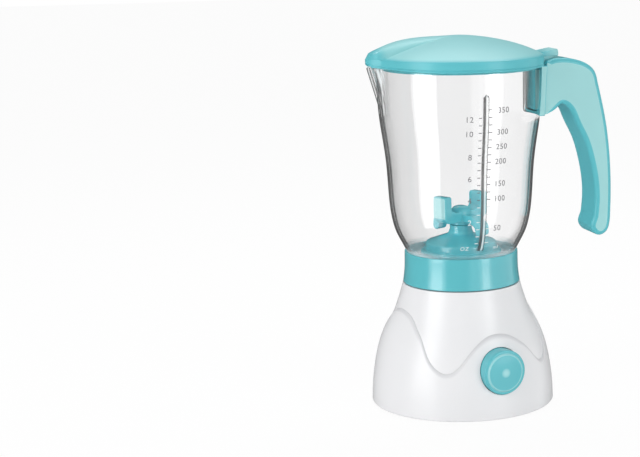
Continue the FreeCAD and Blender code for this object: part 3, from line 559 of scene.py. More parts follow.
def finish_piece(made, body, nodes, material):
    """Gives a piece its material, hangs it on its body's empty, and hides the solids it stands for. Its
    normals are weighted by the faces' areas first, so that a flat side beside a rounded edge stays flat."""
    made.modifiers.new("weigh", "WEIGHTED_NORMAL").keep_sharp = True
    made.data = evaluated_mesh(made)
    made.data.materials.clear()
    made.data.materials.append(material)
    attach(made, body)
    if nodes:
        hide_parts(*nodes)
    print(f"{made.name:18s} {len(made.data.polygons):6d} faces")


print("mesh helpers ready")

# %% [markdown]
# ## The base shell
#
# A bell with a wave that runs right round it: below the wave the skin stands 0.8 mm further out, with a
# soft edge. A turned piece can't have that, so this is a grid of upright columns. Rows crowd together at
# the wave in every column, so the soft edge is real shape and stays crisp. The button's hole is cut last.

# %% Base shell
BASE_TURN = 8.0
BASE_SKIN = [(49.3, 0.6), (48.9, 10), (47.9, 18.6), (46.2, 28), (43.5, 37), (39.3, 46), (37.1, 50.5),
             (35.5, 55), (34.2, 59), (33.0, 63), (32.1, 66.4)]
WAVE_RAISE, WAVE_EDGE, SHELL_WALL = 0.8, 2.6, 2.2
WAVE = [(-90, 54.3), (-80, 53.4), (-73.5, 51.8), (-65, 47.1), (-57, 41.2), (-50, 32.6), (-44, 27.7),
        (-37.5, 25.6), (-31, 27.5), (-24, 33.7), (-15, 40.5), (-7, 43.8), (1, 44.6), (9, 43.7), (17.5, 40.5),
        (25.5, 35.3), (31.5, 29.6), (38, 26.4), (44, 28), (50.5, 33), (57, 40.8), (65, 47), (73.5, 51.7),
        (80, 53.4), (90, 54.3)]  # the wave on the front half: (degrees from the button, height)
BUTTON_Z, BUTTON_R, BUTTON_FACE, TUBE_END = 25.9, 12.05, 51.3, 36.5
skin_curve = np.array(smooth_through(BASE_SKIN, 0.5))
wave_curve = np.array(smooth_through([(-100, 53.4)] + WAVE + [(100, 53.4)], 0.4))


def base_radius(z):
    """The shell's outer radius above the wave, at a height."""
    return float(np.interp(z, skin_curve[:, 1], skin_curve[:, 0]))


def wave_height(angle):
    """How high the wave stands, at an angle in degrees from the button; the back mirrors the front."""
    angle = (angle + 180) % 360 - 180
    if abs(angle) > 90:
        angle = (180 if angle > 0 else -180) - angle
    return float(np.interp(angle, wave_curve[:, 0], wave_curve[:, 1]))


def base_column(angle):
    """One upright line of the shell, all the way round its wall."""
    wave, column = wave_height(angle), []
    heights = [0.9 + (wave - WAVE_EDGE - 1.2) * k / 22 for k in range(22)]  # below the wave's edge
    heights += [wave - WAVE_EDGE * (1 - k / 12) ** 1.5 for k in range(13)]  # through it
    heights += [wave + 0.05 + (66.0 - wave - 0.05) * (k / 24) ** 1.3 for k in range(25)]  # and above it
    for z in heights:
        depth = held((wave - z) / WAVE_EDGE)  # the edge is round, and sharp where it starts
        column.append((base_radius(z) + WAVE_RAISE * (1 - (1 - depth) ** 2) ** 0.5, z))
    top = outline(column[-1], (32.2, 66.4, 0.4), (29.3, 66.4, 0.3), (29.2, 71.5, 1.0), (4.0, 71.5, 0.3),
                  (4.0, 66.0), (6.4, 66.0), (6.4, 69.5), (27.0, 69.5), (27.0, 64.2), (30.6, 64.2),
                  closed=False)
    inside = [(base_radius(z) - SHELL_WALL, z) for z in np.linspace(60, 1.0, 30)]
    return column + top[1:] + inside + [(base_radius(0.6) - SHELL_WALL, 0.6), (base_radius(0.6) + 0.55, 0.6)]


COLUMNS = 240
print("wave between", round(wave_height(38), 1), "and", round(wave_height(0), 1), "mm")

# %% Base shell grid
angles = [360 * k / COLUMNS for k in range(COLUMNS)]
loops = column_loops([base_column(a) for a in angles], [a - 90 for a in angles])
base_shell = object_from("base_shell_skin", *rings(loops), BASE_TURN)
print("base grid", COLUMNS, "columns of", len(loops))


# %% Button hole and the painted shade under the wave
def on_button_axis(v):
    """From an outline about Z to one about the button's axis."""
    return (v[0], -v[2], v[1] + BUTTON_Z)


HOLE_R, HOLE_FROM, HOLE_TO = BUTTON_R + 0.35, TUBE_END - 3, 58
hole = turned_piece("hole", [(0, HOLE_FROM), (HOLE_R, HOLE_FROM), (HOLE_R, HOLE_TO), (0, HOLE_TO)], 96,
                    BASE_TURN, on_button_axis)
combined(base_shell, [hole], "DIFFERENCE")


def wave_crease_shade(x, y, z):
    """How deep a point lies in the soft edge under the wave: painted shade, darkest at the wave's line."""
    if hypot(x, y) < base_radius(held(z, 1, 66)) - 0.6:
        return 0.0
    depth = wave_height(degrees(atan2(y, x)) + 90 - BASE_TURN) - z
    return 0.0 if depth < -0.02 else max(1 - depth / WAVE_EDGE, 0.0) ** 0.7


# Painted shade: the shell's colour darkens in the crease under the wave's edge.
mark(base_shell, "seam", wave_crease_shade)
finish_piece(base_shell, "base", ["base_shell"], white_shell)

# %% [markdown]
# ## The push button
#
# A turned cap with a rounded shoulder and a very slightly domed face. The face has a thin ring near its
# edge and a spot in its middle that are painted paler, a painted highlight, and a little rougher.

# %% Button
face = BUTTON_FACE


def painted_sheen_on_button(x, y, z):
    """A painted highlight, a little rougher too: a spot in the middle of the face and a thin ring near its
    edge.
    """
    turn = radians(BASE_TURN)
    aside = hypot(x * cos(turn) + y * sin(turn), z - BUTTON_Z)
    on_face = hypot(x, y) > face - 1.5
    return on_face * max(0.9 * peak(aside, 0.0, 2.2), 0.7 * peak(aside, 10.0, 0.5))


button = turned_piece("push_button_cap", outline(
    (0, 33.0), (10.5, 33.0), (10.5, 35.0), (BUTTON_R, 35.0, 0.2), (BUTTON_R, face - 0.6, 1.7),
    (10.3, face - 0.75, 0.3), (10.0, face + 0.02, 0.5),
    [(9.2, face + 0.02), (6, face + 0.3), (3, face + 0.45), (0, face + 0.5)]), 128, BASE_TURN, on_button_axis)
# Painted highlight: a paler spot and ring on the button's face.
mark(button, "satin", painted_sheen_on_button)
finish_piece(button, "button", ["push_button"], teal_button)

# %% [markdown]
# ## The collar and the blade post
#
# The collar is the jar's foot. It flares a little, has a soft upper lip that the clear jar sits in, and a
# plain lower edge. The post stands inside the jar: a disc, a low step and a cone up to the blade.

# %% Collar and post
collar = turned_piece("collar_ring", outline(
    (29.5, 66.9), (32.0, 66.9, 0.4), [(31.75, 68.5), (31.3, 72), (31.0, 77.5), (30.95, 82.4)],
    (30.85, 83.9, 0.5), (29.9, 83.7, 0.3), (29.1, 81.9), (29.1, 78.4), (12.0, 78.4), (12.0, 76.6),
    (29.5, 76.6)), 200)
finish_piece(collar, "jar", ["collar"], teal_shell)
post = turned_piece("blade_post_cone", outline(
    (9.4, 74.0), (11.6, 74.0), (11.6, 80.4), (22.0, 80.4, 0.3), (22.0, 84.2, 1.3), (19.5, 84.25, 0.4),
    (19.4, 88.3, 1.4), (7.0, 92.8, 2.0), (6.0, 95.4, 1.0), (6.0, 97.6, 0.2), (1.55, 97.6), (1.55, 79.8),
    (9.4, 79.8)), 160)
finish_piece(post, "jar", ["blade_post"], teal_inner)

# %% [markdown]
# ## The blade
#
# A round hub with two tall blades and two low drooping ones. Each is a flat outline made thick with
# rounded edges, and all are joined into one closed piece.

# %% Blade
BLADE_ANGLE = 26.5
rotor = turned_piece("blade_rotor_piece", outline(
    (0, 97.8), (5.9, 97.8, 0.5), (5.9, 104.4, 1.0), [(5.5, 105.4), (4.2, 107.1), (2.2, 108.0), (0, 108.2)]),
    96, BLADE_ANGLE)
tall = outline((3, 99.6), (12.6, 99.6, 2.0), (16.4, 102.2, 2.6), (16.4, 114.5, 1.4), (11.0, 114.5, 1.4),
               (10.8, 106.6, 2.2), (7.4, 105.2, 1.0), (3, 105.4))
low = outline((3, 99.6), (9.6, 99.6, 1.5), (13.4, 97.6, 2.0), (14.6, 93.0, 2.2), (18.6, 93.6, 2.6),
              (18.2, 99.6, 3.0), (11.4, 103.6, 2.0), (3, 103.6))
arms = [flat_piece("arm", tall, -4.5, 4.5, 0.7, 3, BLADE_ANGLE + a) for a in (0, 180)]
arms += [flat_piece("arm", low, -3.4, 3.4, 0.7, 3, BLADE_ANGLE + a) for a in (90, 270)]
combined(rotor, arms)
along = (cos(radians(BLADE_ANGLE)), sin(radians(BLADE_ANGLE)))
# Painted sheen: the outer face of one tall blade is a lighter teal, as it faces the left soft box, and a
# little rougher.
mark(rotor, "satin", lambda x, y, z: 0.85 if z > 101 and x * along[0] + y * along[1] < -16.2 else 0.0)
finish_piece(rotor, "blade", ["blade_rotor"], teal_inner)

# %% [markdown]
# ## The jar
#
# A clear wall 1.8 mm thick that widens upwards, with a pinched spout on one side and an upright bead on
# the front that carries the measuring scale. It is a grid like the base's: every column follows the
# jar's outline, pushed out where the spout and the bead are. A pocket for the handle is joined on inside.

# %% Jar
JAR_SKIN = [(28.75, 82.0), (29.9, 84), (32.0, 88), (35.2, 94.3), (37.0, 100), (38.6, 110), (39.3, 120),
            (40.2, 133), (41.6, 144), (43.2, 155), (44.3, 168), (44.9, 183.8), (45.0, 186.0)]
RIM, JAR_WALL, GAUGE_LOW, GAUGE_TOP, BEAD_HALF, BEAD_HIGH = 183.8, 1.8, 89.0, 172.4, 1.4, 0.9
SPOUT_LOW, SPOUT_TOP, SPOUT_TIP_LOW, SPOUT_TIP, SPOUT_ROOT = 158.0, 186.0, 43.4, 51.9, 36.0
jar_curve = np.array(smooth_through(JAR_SKIN, 0.5))


def jar_radius(z):
    """The jar's outer radius at a height, without spout and bead."""
    return float(np.interp(z, jar_curve[:, 1], jar_curve[:, 0]))


def rim_rise(x):
    """How far the rim and the lid's edge rise towards the spout."""
    past = max(-x - 24.0, 0.0)
    return 0.0214 * past + 0.00102 * past ** 2


def spout_reach(angle, z, shrink):
    """How far the spout's wedge reaches at an angle from -X, or 0 outside it."""
    share = (z - SPOUT_LOW) / (SPOUT_TOP - SPOUT_LOW)
    if share < 0 or abs(angle) > 40:
        return 0.0
    tip = SPOUT_TIP_LOW + (SPOUT_TIP - SPOUT_TIP_LOW) * share - shrink
    half = 4.4 + 7.6 * share - shrink  # half its width, where its flanks start
    nose = max(2.6 + 0.6 * share - shrink, 0.3)  # its tip is round, with this radius
    centre = tip - nose
    lean = atan2(half - nose, centre - SPOUT_ROOT)
    a = radians(abs(angle))
    # the flank: a line from (SPOUT_ROOT, half) that touches the nose
    ax, ay = centre + nose * sin(lean), nose * cos(lean)
    dx, dy = ax - SPOUT_ROOT, ay - half
    slant = cos(a) * dy - sin(a) * dx
    flank = (SPOUT_ROOT * dy - half * dx) / slant if abs(slant) > TINY else 1e9
    if flank * cos(a) <= ax:
        return flank
    inside = nose ** 2 - (centre * sin(a)) ** 2
    return centre * cos(a) + (inside ** 0.5 if inside > 0 else 0.0)


def softer_of(a, b, blend):
    """The larger of two numbers, with a fillet where they are nearly equal."""
    gap = max(blend - abs(a - b), 0.0) / blend
    return max(a, b) + gap * gap * blend / 4


def bead_height(arc, z):
    """How far the scale's bead stands out, at an arc from its middle."""
    if z < GAUGE_LOW - 1.5 or z > GAUGE_TOP + 0.05:
        return 0.0
    past = max(z - (GAUGE_TOP - BEAD_HALF), 0.0)
    reach = hypot(arc, past) / BEAD_HALF
    return BEAD_HIGH * held((z - GAUGE_LOW + 1.5) / 3.0) * max(1 - reach ** 4, 0.0) ** 0.5


print("jar", round(jar_radius(RIM), 1), "mm in radius at its rim")

# %% Jar grid
# columns crowd together at the spout and the bead, and rows at the spout and the bead's ends
angles = ordered(np.arange(-180, 180, 3.0), np.arange(-180, -160, 0.75), np.arange(160, 180, 0.75),
                 np.arange(-180, -172, 0.25), np.arange(172, 180, 0.25), np.arange(-93.0, -87.0, 0.2))
rows = ordered(np.linspace(83.0, 100, 18), np.linspace(100, 156, 26), np.linspace(156, 183.0, 34),
               np.linspace(170.5, 172.6, 9), np.linspace(87.4, 90.6, 7))


def jar_skin(angle, z, wall=0.0, shrink=0.0):
    """The jar's radius at an angle from -X, with its spout; wall and shrink bring it inwards."""
    skin, reach = jar_radius(z) - wall, spout_reach(angle, z, shrink)
    return softer_of(skin, reach, 0.8) if reach else skin


def jar_column(angle):
    """One upright line of the jar: its foot, outer skin, rim, inner skin and floor."""
    from_spout = (angle + 360) % 360 - 180
    reach = max(spout_reach(from_spout, RIM, 0.0), 45.0)
    rise = rim_rise(-reach * cos(radians(from_spout)))
    heights = [z + rise * eased((z - 165.0) / (RIM - 165.0)) for z in rows]
    column = outline((12.0, 78.5), (27.6, 78.5, 1.6), (28.75, 82.0, 1.0), (29.3, 83.0), closed=False)[:-1]
    column += [(jar_skin(from_spout, z), z) for z in heights]
    column = [(r + bead_height(radians(angle + 90) * r, z), z) for r, z in column]
    inner = [(jar_skin(from_spout, z, JAR_WALL, 1.5), z) for z in heights]
    top, r_out, r_in = RIM + rise, column[-1][0], inner[-1][0]
    rim = [(r_out, top - 0.4), (r_out - 0.4, top), (r_in + 0.4, top), (r_in, top - 0.4)]
    floor_edge = outline(inner[0], (26.6, 80.3, 1.5), (12.0, 80.3), closed=False)[1:]
    return column + rim + inner[::-1] + floor_edge


columns = [jar_column(a) for a in angles]
jar = object_from("jar_clear", *rings(column_loops(columns, angles)))
print("jar grid", len(columns), "columns of", len(columns[0]))

# %% Handle pocket in the jar
POCKET_X, POCKET_Y, POCKET_LOW, POCKET_TOP = 40.8, 6.7, 158.4, 182.0
POCKET_OUT, POCKET_FLOOR = POCKET_Y + 1.5, POCKET_LOW - 1.6  # the outside of its side walls and its floor


def across(v):
    """From a flat outline in the XZ plane to one in the YZ plane, thick along X."""
    return (v[1], v[0], v[2])


slot_hole = flat_piece("slot", box_outline(POCKET_X, 50, POCKET_LOW, RIM + 3), -POCKET_Y, POCKET_Y)
combined(jar, [slot_hole], "DIFFERENCE")
trough = outline((-POCKET_OUT, POCKET_TOP, 0.6), (-POCKET_Y, POCKET_TOP, 0.3), (-POCKET_Y, POCKET_LOW, 1.0),
                 (POCKET_Y, POCKET_LOW, 1.0), (POCKET_Y, POCKET_TOP, 0.3), (POCKET_OUT, POCKET_TOP, 0.6),
                 (POCKET_OUT, POCKET_FLOOR, 2.2), (-POCKET_OUT, POCKET_FLOOR, 2.2))
walls = flat_piece("pocket_walls", trough, POCKET_X - 1.2, POCKET_X + 1.4, 0.3, 2, place=across)
back = flat_piece("pocket_back", box_outline(-POCKET_Y - 0.3, POCKET_Y + 0.3, POCKET_LOW - 0.3,
                                             POCKET_TOP - 0.4),
                  POCKET_X - 1.1, POCKET_X - 0.05, 0.2, 2, place=across)
combined(jar, [walls, back])

# %% Marks on the jar for its material
FRONT_Y = -30  # the bead stands in front of this
THICK_OUTSIDE, THICK_INSIDE, THICK_BESIDE = 0.08, -0.35, -1.4  # on each skin, and beside the handle


def spout_angle(x, y):
    """The angle from the spout's middle, in degrees, the same on both sides."""
    return abs(degrees(atan2(y, -x)))


def jar_painted_dark(x, y, z):
    """Painted dark refraction and shade: the spout's tip and the streaks beside it, the flanks of the scale's
    bead, and the pocket's far side wall."""
    a, bead = spout_angle(x, y), 0.0
    if y < FRONT_Y and GAUGE_LOW - 0.5 < z < GAUGE_TOP + 0.3 and hypot(x, y) > jar_radius(z) - 0.5:
        past = max(z - (GAUGE_TOP - BEAD_HALF), 0.0)
        bead = max(0.8 * peak(hypot(x, past), 1.15, 0.5), 0.95 * peak(x, -1.15, 0.75) * (past < 0.5))
    lines = max(0.75 * peak(a, 0.0, 1.5), 0.5 * peak(a, 2.5, 0.5), 0.3 * peak(a, 3.8, 0.5),
                0.12 * peak(a, 8.5, 3.5))
    far_wall = 0.75 * (x > POCKET_X - 1.3 and 6.2 < y < POCKET_OUT + 0.1
                       and hypot(x, y) < jar_radius(z) - JAR_WALL - 0.15)
    return max(bead, held((z - 156.0) / 8.0) * lines, far_wall)


def jar_painted_highlight(x, y, z):
    """Painted highlights: the crease beside the spout and the bead's crest."""
    crease = 0.85 * peak(spout_angle(x, y), 5.6, 0.8) if z > 160 else 0.0
    crest = 0.0
    if y < FRONT_Y and GAUGE_LOW < z < GAUGE_TOP and hypot(x, y) > jar_radius(z) + 0.3:
        crest = 0.8 * peak(x, 0.0, 0.5)
    return max(crease, crest)


def jar_thick(x, y, z):
    """Where the dark edge is wider, on the outer skin, or narrower, inside and beside the handle."""
    outside = hypot(x, y) > jar_radius(min(z, SPOUT_TOP)) - JAR_WALL / 2
    usual = THICK_OUTSIDE if outside else THICK_INSIDE
    beside = held((z - 154.0) / 3.0) * held((60 - abs(degrees(atan2(y, x)))) / 8)
    return usual + beside * (THICK_BESIDE - usual)


def jar_painted_foot_light(x, y, z):
    """Painted pale light, only where it turns away: the ring that stands in the collar."""
    return 0.75 * held((87.0 - z) / 4.0)


for word, rule in (("smoke", jar_painted_dark), ("frost", jar_painted_highlight), ("thick", jar_thick), ("foot", jar_painted_foot_light)):
    mark(jar, word, rule)
print("marks", [a.name for a in jar.data.attributes])
finish_piece(jar, "jar", ["jar_body"], jar_clear)

# %% [markdown]
# ## The measuring scale
#
# Beside the bead stand short marks, evenly spaced, and numbers. The marks repeat, so Geometry Nodes
# makes them: a row of points, a bar on each, and a ray from the front that lays every bar on the jar's
# skin. The numbers are text made into mesh, and bent round the jar by a rule. The print is grey; the
# lowest marks and words, where the blade stands behind, are painted pale instead, a painted highlight.

# %% Node tree for a row of marks
scale_marks = bpy.data.node_groups.new("scale_marks", "GeometryNodeTree")
sockets = add_sockets(scale_marks, "INPUT", ("Skin", "Object"), ("Middle", "Float"), ("Lowest", "Float"),
                      ("Step", "Float"), ("Count", "Int"), ("Length", "Float"), ("Line", "Float"),
                      ("Ink", "Material"))
add_sockets(scale_marks, "OUTPUT", ("Geometry", "Geometry"))
given = add(scale_marks, "NodeGroupInput").outputs
BAR_DEPTH, RAY_FROM = 0.00006, -0.1  # metres: how deep a bar is, and where along Y the rays start


def xyz(**parts):
    """A vector from its parts."""
    return add(scale_marks, "ShaderNodeCombineXYZ", parts).outputs[0]


row = add(scale_marks, "GeometryNodeMeshLine", {
    "Count": given["Count"], "Start Location": xyz(X=given["Middle"], Z=given["Lowest"]),
    "Offset": xyz(Z=given["Step"])})
bar = add(scale_marks, "GeometryNodeMeshCube", {"Size": xyz(X=given["Length"], Y=BAR_DEPTH, Z=given["Line"])})
stand = add(scale_marks, "GeometryNodeInstanceOnPoints", {"Points": row.outputs["Mesh"],
                                                          "Instance": bar.outputs["Mesh"]})
real = add(scale_marks, "GeometryNodeRealizeInstances", {0: stand.outputs[0]})
here = add(scale_marks, "GeometryNodeInputPosition").outputs[0]
parts = add(scale_marks, "ShaderNodeSeparateXYZ", {0: here}).outputs
skin = add(scale_marks, "GeometryNodeObjectInfo", {0: given["Skin"]})
ray = add(scale_marks, "GeometryNodeRaycast", {
    "Target Geometry": skin.outputs["Geometry"], "Ray Direction": (0, 1, 0),
    "Source Position": xyz(X=parts["X"], Y=RAY_FROM, Z=parts["Z"])})
lay = add(scale_marks, "ShaderNodeVectorMath", {0: ray.outputs["Hit Position"], 1: xyz(Y=parts["Y"])})
place = add(scale_marks, "GeometryNodeSetPosition", {"Geometry": real.outputs[0], "Position": lay.outputs[0]})
dye = add(scale_marks, "GeometryNodeSetMaterial", {"Geometry": place.outputs[0], "Material": given["Ink"]})
add(scale_marks, "NodeGroupOutput", {"Geometry": dye.outputs[0]})
print("marks tree", len(scale_marks.nodes), "nodes")

# %% Marks and numbers
ink_grey = moulded_plastic("ink_grey", (0.2, 0.2, 0.21), drift=0.1, shine=0.7, ripple=0.1, grain=1500,
                           mirror=0.1)
# A pale copy of the print, painted light for the marks and words that have the blade behind them.
ink_pale = moulded_plastic("ink_pale", (0.8, 0.88, 0.88), drift=0.05, shine=0.7, ripple=0.1, grain=1500,
                           mirror=0.1)
MARK_STEP, MARK_LINE, DIGIT, UNIT = 3.97, 0.42, 4.2, 3.0  # mm: between marks, a mark, and the letters
STAND_OFF, PRINT_THICK = 0.06, 0.03  # how far the letters stand off the jar, and half how thick they are
SIDES = [(-3.05, 1.7, 160.7, 12), (2.45, 2.0, 164.9, 13)]  # marks left and right: place, length, top, count
PALE_MARKS = 6  # more on each side, below those
GREY_WORDS = [("350", 9.8, 163.0), ("300", 9.6, 151.5), ("250", 9.4, 143.7), ("200", 9.2, 135.8),
              ("150", 9.0, 123.9), ("100", 8.9, 115.9), ("50", 8.0, 99.9), ("12", -9.0, 158.6),
              ("10", -9.0, 151.0), ("8", -8.0, 138.6), ("6", -7.9, 127.0), ("4", -7.8, 115.4)]
PALE_WORDS = [("2", -7.6, 103.6), ("OZ", -8.9, 89.3), ("ml", 8.6, 89.3)]


def marks(middle, length, top, count, ink):
    """A row of marks from the top one down, at a distance to the side of the bead."""
    row = linked("marks", bpy.data.meshes.new("marks"))
    step = row.modifiers.new("marks", "NODES")
    step.node_group = scale_marks
    lowest = top - (count - 1) * MARK_STEP
    for word, value in (("Skin", jar), ("Middle", middle / 1000), ("Lowest", lowest / 1000),
                        ("Step", MARK_STEP / 1000), ("Count", count), ("Length", length / 1000),
                        ("Line", MARK_LINE / 1000), ("Ink", ink)):
        step[sockets[word]] = value
    row.data = evaluated_mesh(row)
    return row


def label(words, arc, low, size):
    """Words bent round the jar: arc is how far the middle stands to the right of the bead."""
    text = bpy.data.curves.new(words, "FONT")
    text.body, text.size, text.align_x = words, size / 1000, "CENTER"
    text.extrude, text.space_character = PRINT_THICK / 1000, 1.12
    shaped = linked(words, text)
    mesh = evaluated_mesh(shaped)
    bpy.data.objects.remove(shaped)
    for v in mesh.vertices:
        z = low + v.co.y * 1000
        r = jar_radius(z)
        angle = (arc + v.co.x * 1000) / r
        r = (r + STAND_OFF + v.co.z * 1000) / 1000
        v.co = (r * sin(angle), -r * cos(angle), z / 1000)
    return linked(words, mesh)


# The lower marks and words take the pale ink, painted light.
for tone, ink, slot, words in (("grey", ink_grey, "dark_plastic", GREY_WORDS),
                               ("pale", ink_pale, "white_plastic", PALE_WORDS)):
    pieces = []
    for middle, length, top, count in SIDES:
        if tone == "pale":
            top, count = top - count * MARK_STEP, PALE_MARKS
        pieces.append(marks(middle, length, top, count, ink))
    pieces += [label(word, arc, low, DIGIT if word.isdigit() else UNIT) for word, arc, low in words]
    whole = joined(pieces[0], pieces[1:])
    whole.name = f"scale_{tone}"
    finish_piece(whole, "jar", [], ink)

# %% [markdown]
# ## The handle
#
# Two moulded halves that meet at the middle. Each is the same outline, half as thick, with broad rounded
# edges on its outer side. A gap for the lid's hinge is cut at the top, and the flange and the tongue that
# hold it to the jar are joined on.

# %% Handle
HANDLE_HALF, FLANGE_HALF, GRIP_ROUND, GRIP_FROM = 10.9, 11.4, 2.4, 47.1
GRIP = outline(
    (45.4, 156.5, 0.6), (52.6, 159.6, 0.5),
    [(53.4, 160.3), (55.6, 161.9), (59.2, 160.2), (63.4, 152.6), (68.6, 142.3), (72.2, 131.5), (74.6, 120),
     (75.4, 108), (74.6, 98.6)],
    [(73.6, 96.0), (72.9, 93.2), (73.6, 90.9), (77.9, 87.6), (82.4, 89.4), (84.6, 95.5)],
    [(84.8, 97.5), (85.1, 108), (84.9, 123), (83.9, 137), (81.9, 151.5), (79.3, 163.8), (76.9, 173.6)],
    [(76.6, 175.2), (75.3, 178.8), (71.4, 182.8), (65.8, 185.3), (60.0, 186.6), (54.5, 187.0), (50.5, 186.6),
     (47.6, 185.6)], (46.7, 184.6, 0.4), (46.6, 181))
FLANGE = outline((41.4, 156.1), (45.3, 156.1, 0.6), (46.8, 183.2, 0.4), (42.4, 183.2))


def handle_half(name, side, nodes):
    """One half: side -1 is the front, towards -Y, and 1 the back."""
    half = flat_piece(name, GRIP, *sorted((0.0, side * HANDLE_HALF)))
    bevel = half.modifiers.new("round", "BEVEL")
    bevel.width, bevel.segments, bevel.limit_method = GRIP_ROUND / 1000, 6, "WEIGHT"
    bevel.use_clamp_overlap = False
    weight = half.data.attributes.new("bevel_weight_edge", "FLOAT", "EDGE")
    for edge in half.data.edges:
        ends = [half.data.vertices[v].co * 1000 for v in edge.vertices]
        on_side = all(abs(end.y - side * HANDLE_HALF) < 1e-3 and end.x > GRIP_FROM for end in ends)
        weight.data[edge.index].value = float(on_side)
    applied(half)
    hinge_gap = flat_piece("hinge_gap", box_outline(46, 62.3, 176.4, 190, 1.0), -6.5, 6.5)
    combined(half, [hinge_gap], "DIFFERENCE")
    flange = flat_piece("flange", FLANGE, *sorted((0.02 * side, side * FLANGE_HALF)), 0.5, 2)
    jar_wall = [(jar_radius(z) + 0.12, z) for z in np.linspace(84, 188, 50)]
    cup = turned_piece("cup", [(0, 78.0), *jar_wall, (0, 188)])
    combined(flange, [cup], "DIFFERENCE")
    tongue = flat_piece("tongue", box_outline(POCKET_X + 0.3, 45.3, POCKET_LOW + 0.5, 181.2),
                        *sorted((0.02 * side, side * (POCKET_Y - 0.4))), 0.4, 2)
    joined(half, [flange, tongue])
    # Painted sheen: the flat sides of grip and flange are a lighter teal, and a little rougher.
    mark_flat_sides(half, "satin")
    finish_piece(half, "jar", nodes, teal_grip)


handle_half("handle_front_skin", -1, ["handle_front"])
handle_half("handle_back_skin", 1, ["handle_back"])

# %% [markdown]
# ## The lid
#
# A low dome with a band round its edge. A leaf-shaped nose rises out of it towards the spout, with a clear
# crease on each side. The grid is round, and its columns bend so that one of them runs along each crease.

# %% Lid
LID_LOW, LID_R, LID_WALL, DOME_R, LID_SHARP = 183.95, 45.8, 1.8, 44.4, 24.0
LID_DOME = [(0, 200.6), (12, 199.7), (22.5, 197.9), (32.8, 195.2), (39.8, 192.6), (DOME_R, 190.5)]
NOSE_RIDGE = [(0, 200.6), (14.9, 200.4), (28.3, 199.5), (38.3, 197.3), (46, 194.5), (50.4, 192.0),
              (51.9, 189.6)]
NOSE_EDGE = [(4, 2.6), (8, 4.6), (20, 8.9), (31, 11.4), (40, 11.0), (45.4, 8.9)]  # distance, half width
NOSE_TIP, NOSE_FALL = 52.0, 6.2  # how far the nose reaches, and how much less beside it
NOSE_SPREAD, BEND_END = 24.0, 100  # degrees: the crease's column, and where the columns stop bending
BAND = [(1.0, 0.0), (0.7, 0.0), (0.38, 0.0), (0.3, 0.05), (0.25, 0.35), (0.2, 0.3), (0.15, 0.0), (0.07, 0.0),
        (0.01, 0.35), (0.0, 0.7)]  # the lid's band, from its top down: (share of its height, inset)
SHARES = [0.03, 0.07, 0.12, 0.18, 0.24, 0.3, 0.36, 0.42, 0.48, 0.54, 0.6, 0.65, 0.7, 0.75, 0.8, 0.84, 0.88,
          0.915, 0.945, 0.97]  # where the rows lie between the middle and the edge
dome_curve = np.array(smooth_through([(-12, 199.7)] + LID_DOME, 0.4))
ridge_curve = np.array(smooth_through(NOSE_RIDGE, 0.4))
edge_curve = np.array(smooth_through(NOSE_EDGE, 0.4))


def dome_height(r):
    """The plain dome's height, at a distance from the axis."""
    return float(np.interp(r, dome_curve[:, 0], dome_curve[:, 1]))


def crease_angle(r):
    """The crease's angle from the nose's middle, in degrees, at a distance from the lid's axis."""
    reach = np.hypot(edge_curve[:, 0], edge_curve[:, 1])
    angle = np.degrees(np.arctan2(edge_curve[:, 1], edge_curve[:, 0]))
    return float(np.interp(r, reach, angle))


def bent(angle, r):
    """Where a column at an angle from the nose's middle runs, at a distance from the axis."""
    crease, size = crease_angle(r), abs(angle)
    if size <= NOSE_SPREAD:
        size = size * crease / NOSE_SPREAD
    elif size < BEND_END:
        size = crease + (size - NOSE_SPREAD) * (BEND_END - crease) / (BEND_END - NOSE_SPREAD)
    return size if angle >= 0 else -size


def lid_edge(angle):
    """The distance from the axis to the lid's edge."""
    size = abs(angle)
    return max(NOSE_TIP - NOSE_FALL * eased(size / 15.0), LID_R) if size <= 16 else LID_R


def lid_top(r, angle, shrink=0.0):
    """The top's height: the dome, or the nose where it stands higher."""
    size, crease = abs(angle), crease_angle(r)
    dome = dome_height(min(r, DOME_R)) - (max(r - DOME_R, 0) * 0.55)
    if size >= crease or r < 3:
        return dome - shrink
    x, y = r * cos(radians(size)), r * sin(radians(size))
    half = x * tan(radians(crease))
    ridge = float(np.interp(x, ridge_curve[:, 0], ridge_curve[:, 1]))
    return dome + max(ridge - dome, 0.0) * (1 - (y / half) ** 2) ** 0.8 - shrink


print("lid", round(lid_edge(0), 1), "mm out to the nose's tip")


# %% Lid grid
def lid_column(angle):
    """One line of the lid from the middle of its top, round its edge, to the middle underneath."""
    edge = lid_edge(bent(angle, LID_R))
    points = []
    for r in [edge * share for share in SHARES]:
        a = bent(angle, r)
        points.append((r, a, lid_top(r, a)))
    a = bent(angle, edge)
    out = -edge * cos(radians(a))
    top = min(points[-1][2] - 0.7, 189.7)
    low = LID_LOW + max(rim_rise(out), 1.0 + (-out - 49.8) * 0.96)  # slants up under the nose
    points.append((edge - 0.3, a, top + 0.15))
    points += [(edge - inset, a, low + share * (top - 0.15 - low)) for share, inset in BAND]
    inner_low = LID_LOW + rim_rise(-42.4 * cos(radians(a)))
    lip = LID_LOW - (1.05 if abs(angle) < 150 else 0.05)  # reaches into the jar, not at the handle
    points += [(42.4, a, inner_low), (42.3, a, lip + 0.3), (42.0, a, lip), (41.2, a, lip),
               (40.9, a, lip + 0.3), (40.9, a, 187.4), (40.4, a, 190.2)]
    for r in [39.8 * share for share in SHARES[::-1]]:
        b = bent(angle, r)
        points.append((r, b, min(lid_top(r, b, LID_WALL), dome_height(r) - LID_WALL + 3.0)))
    return points


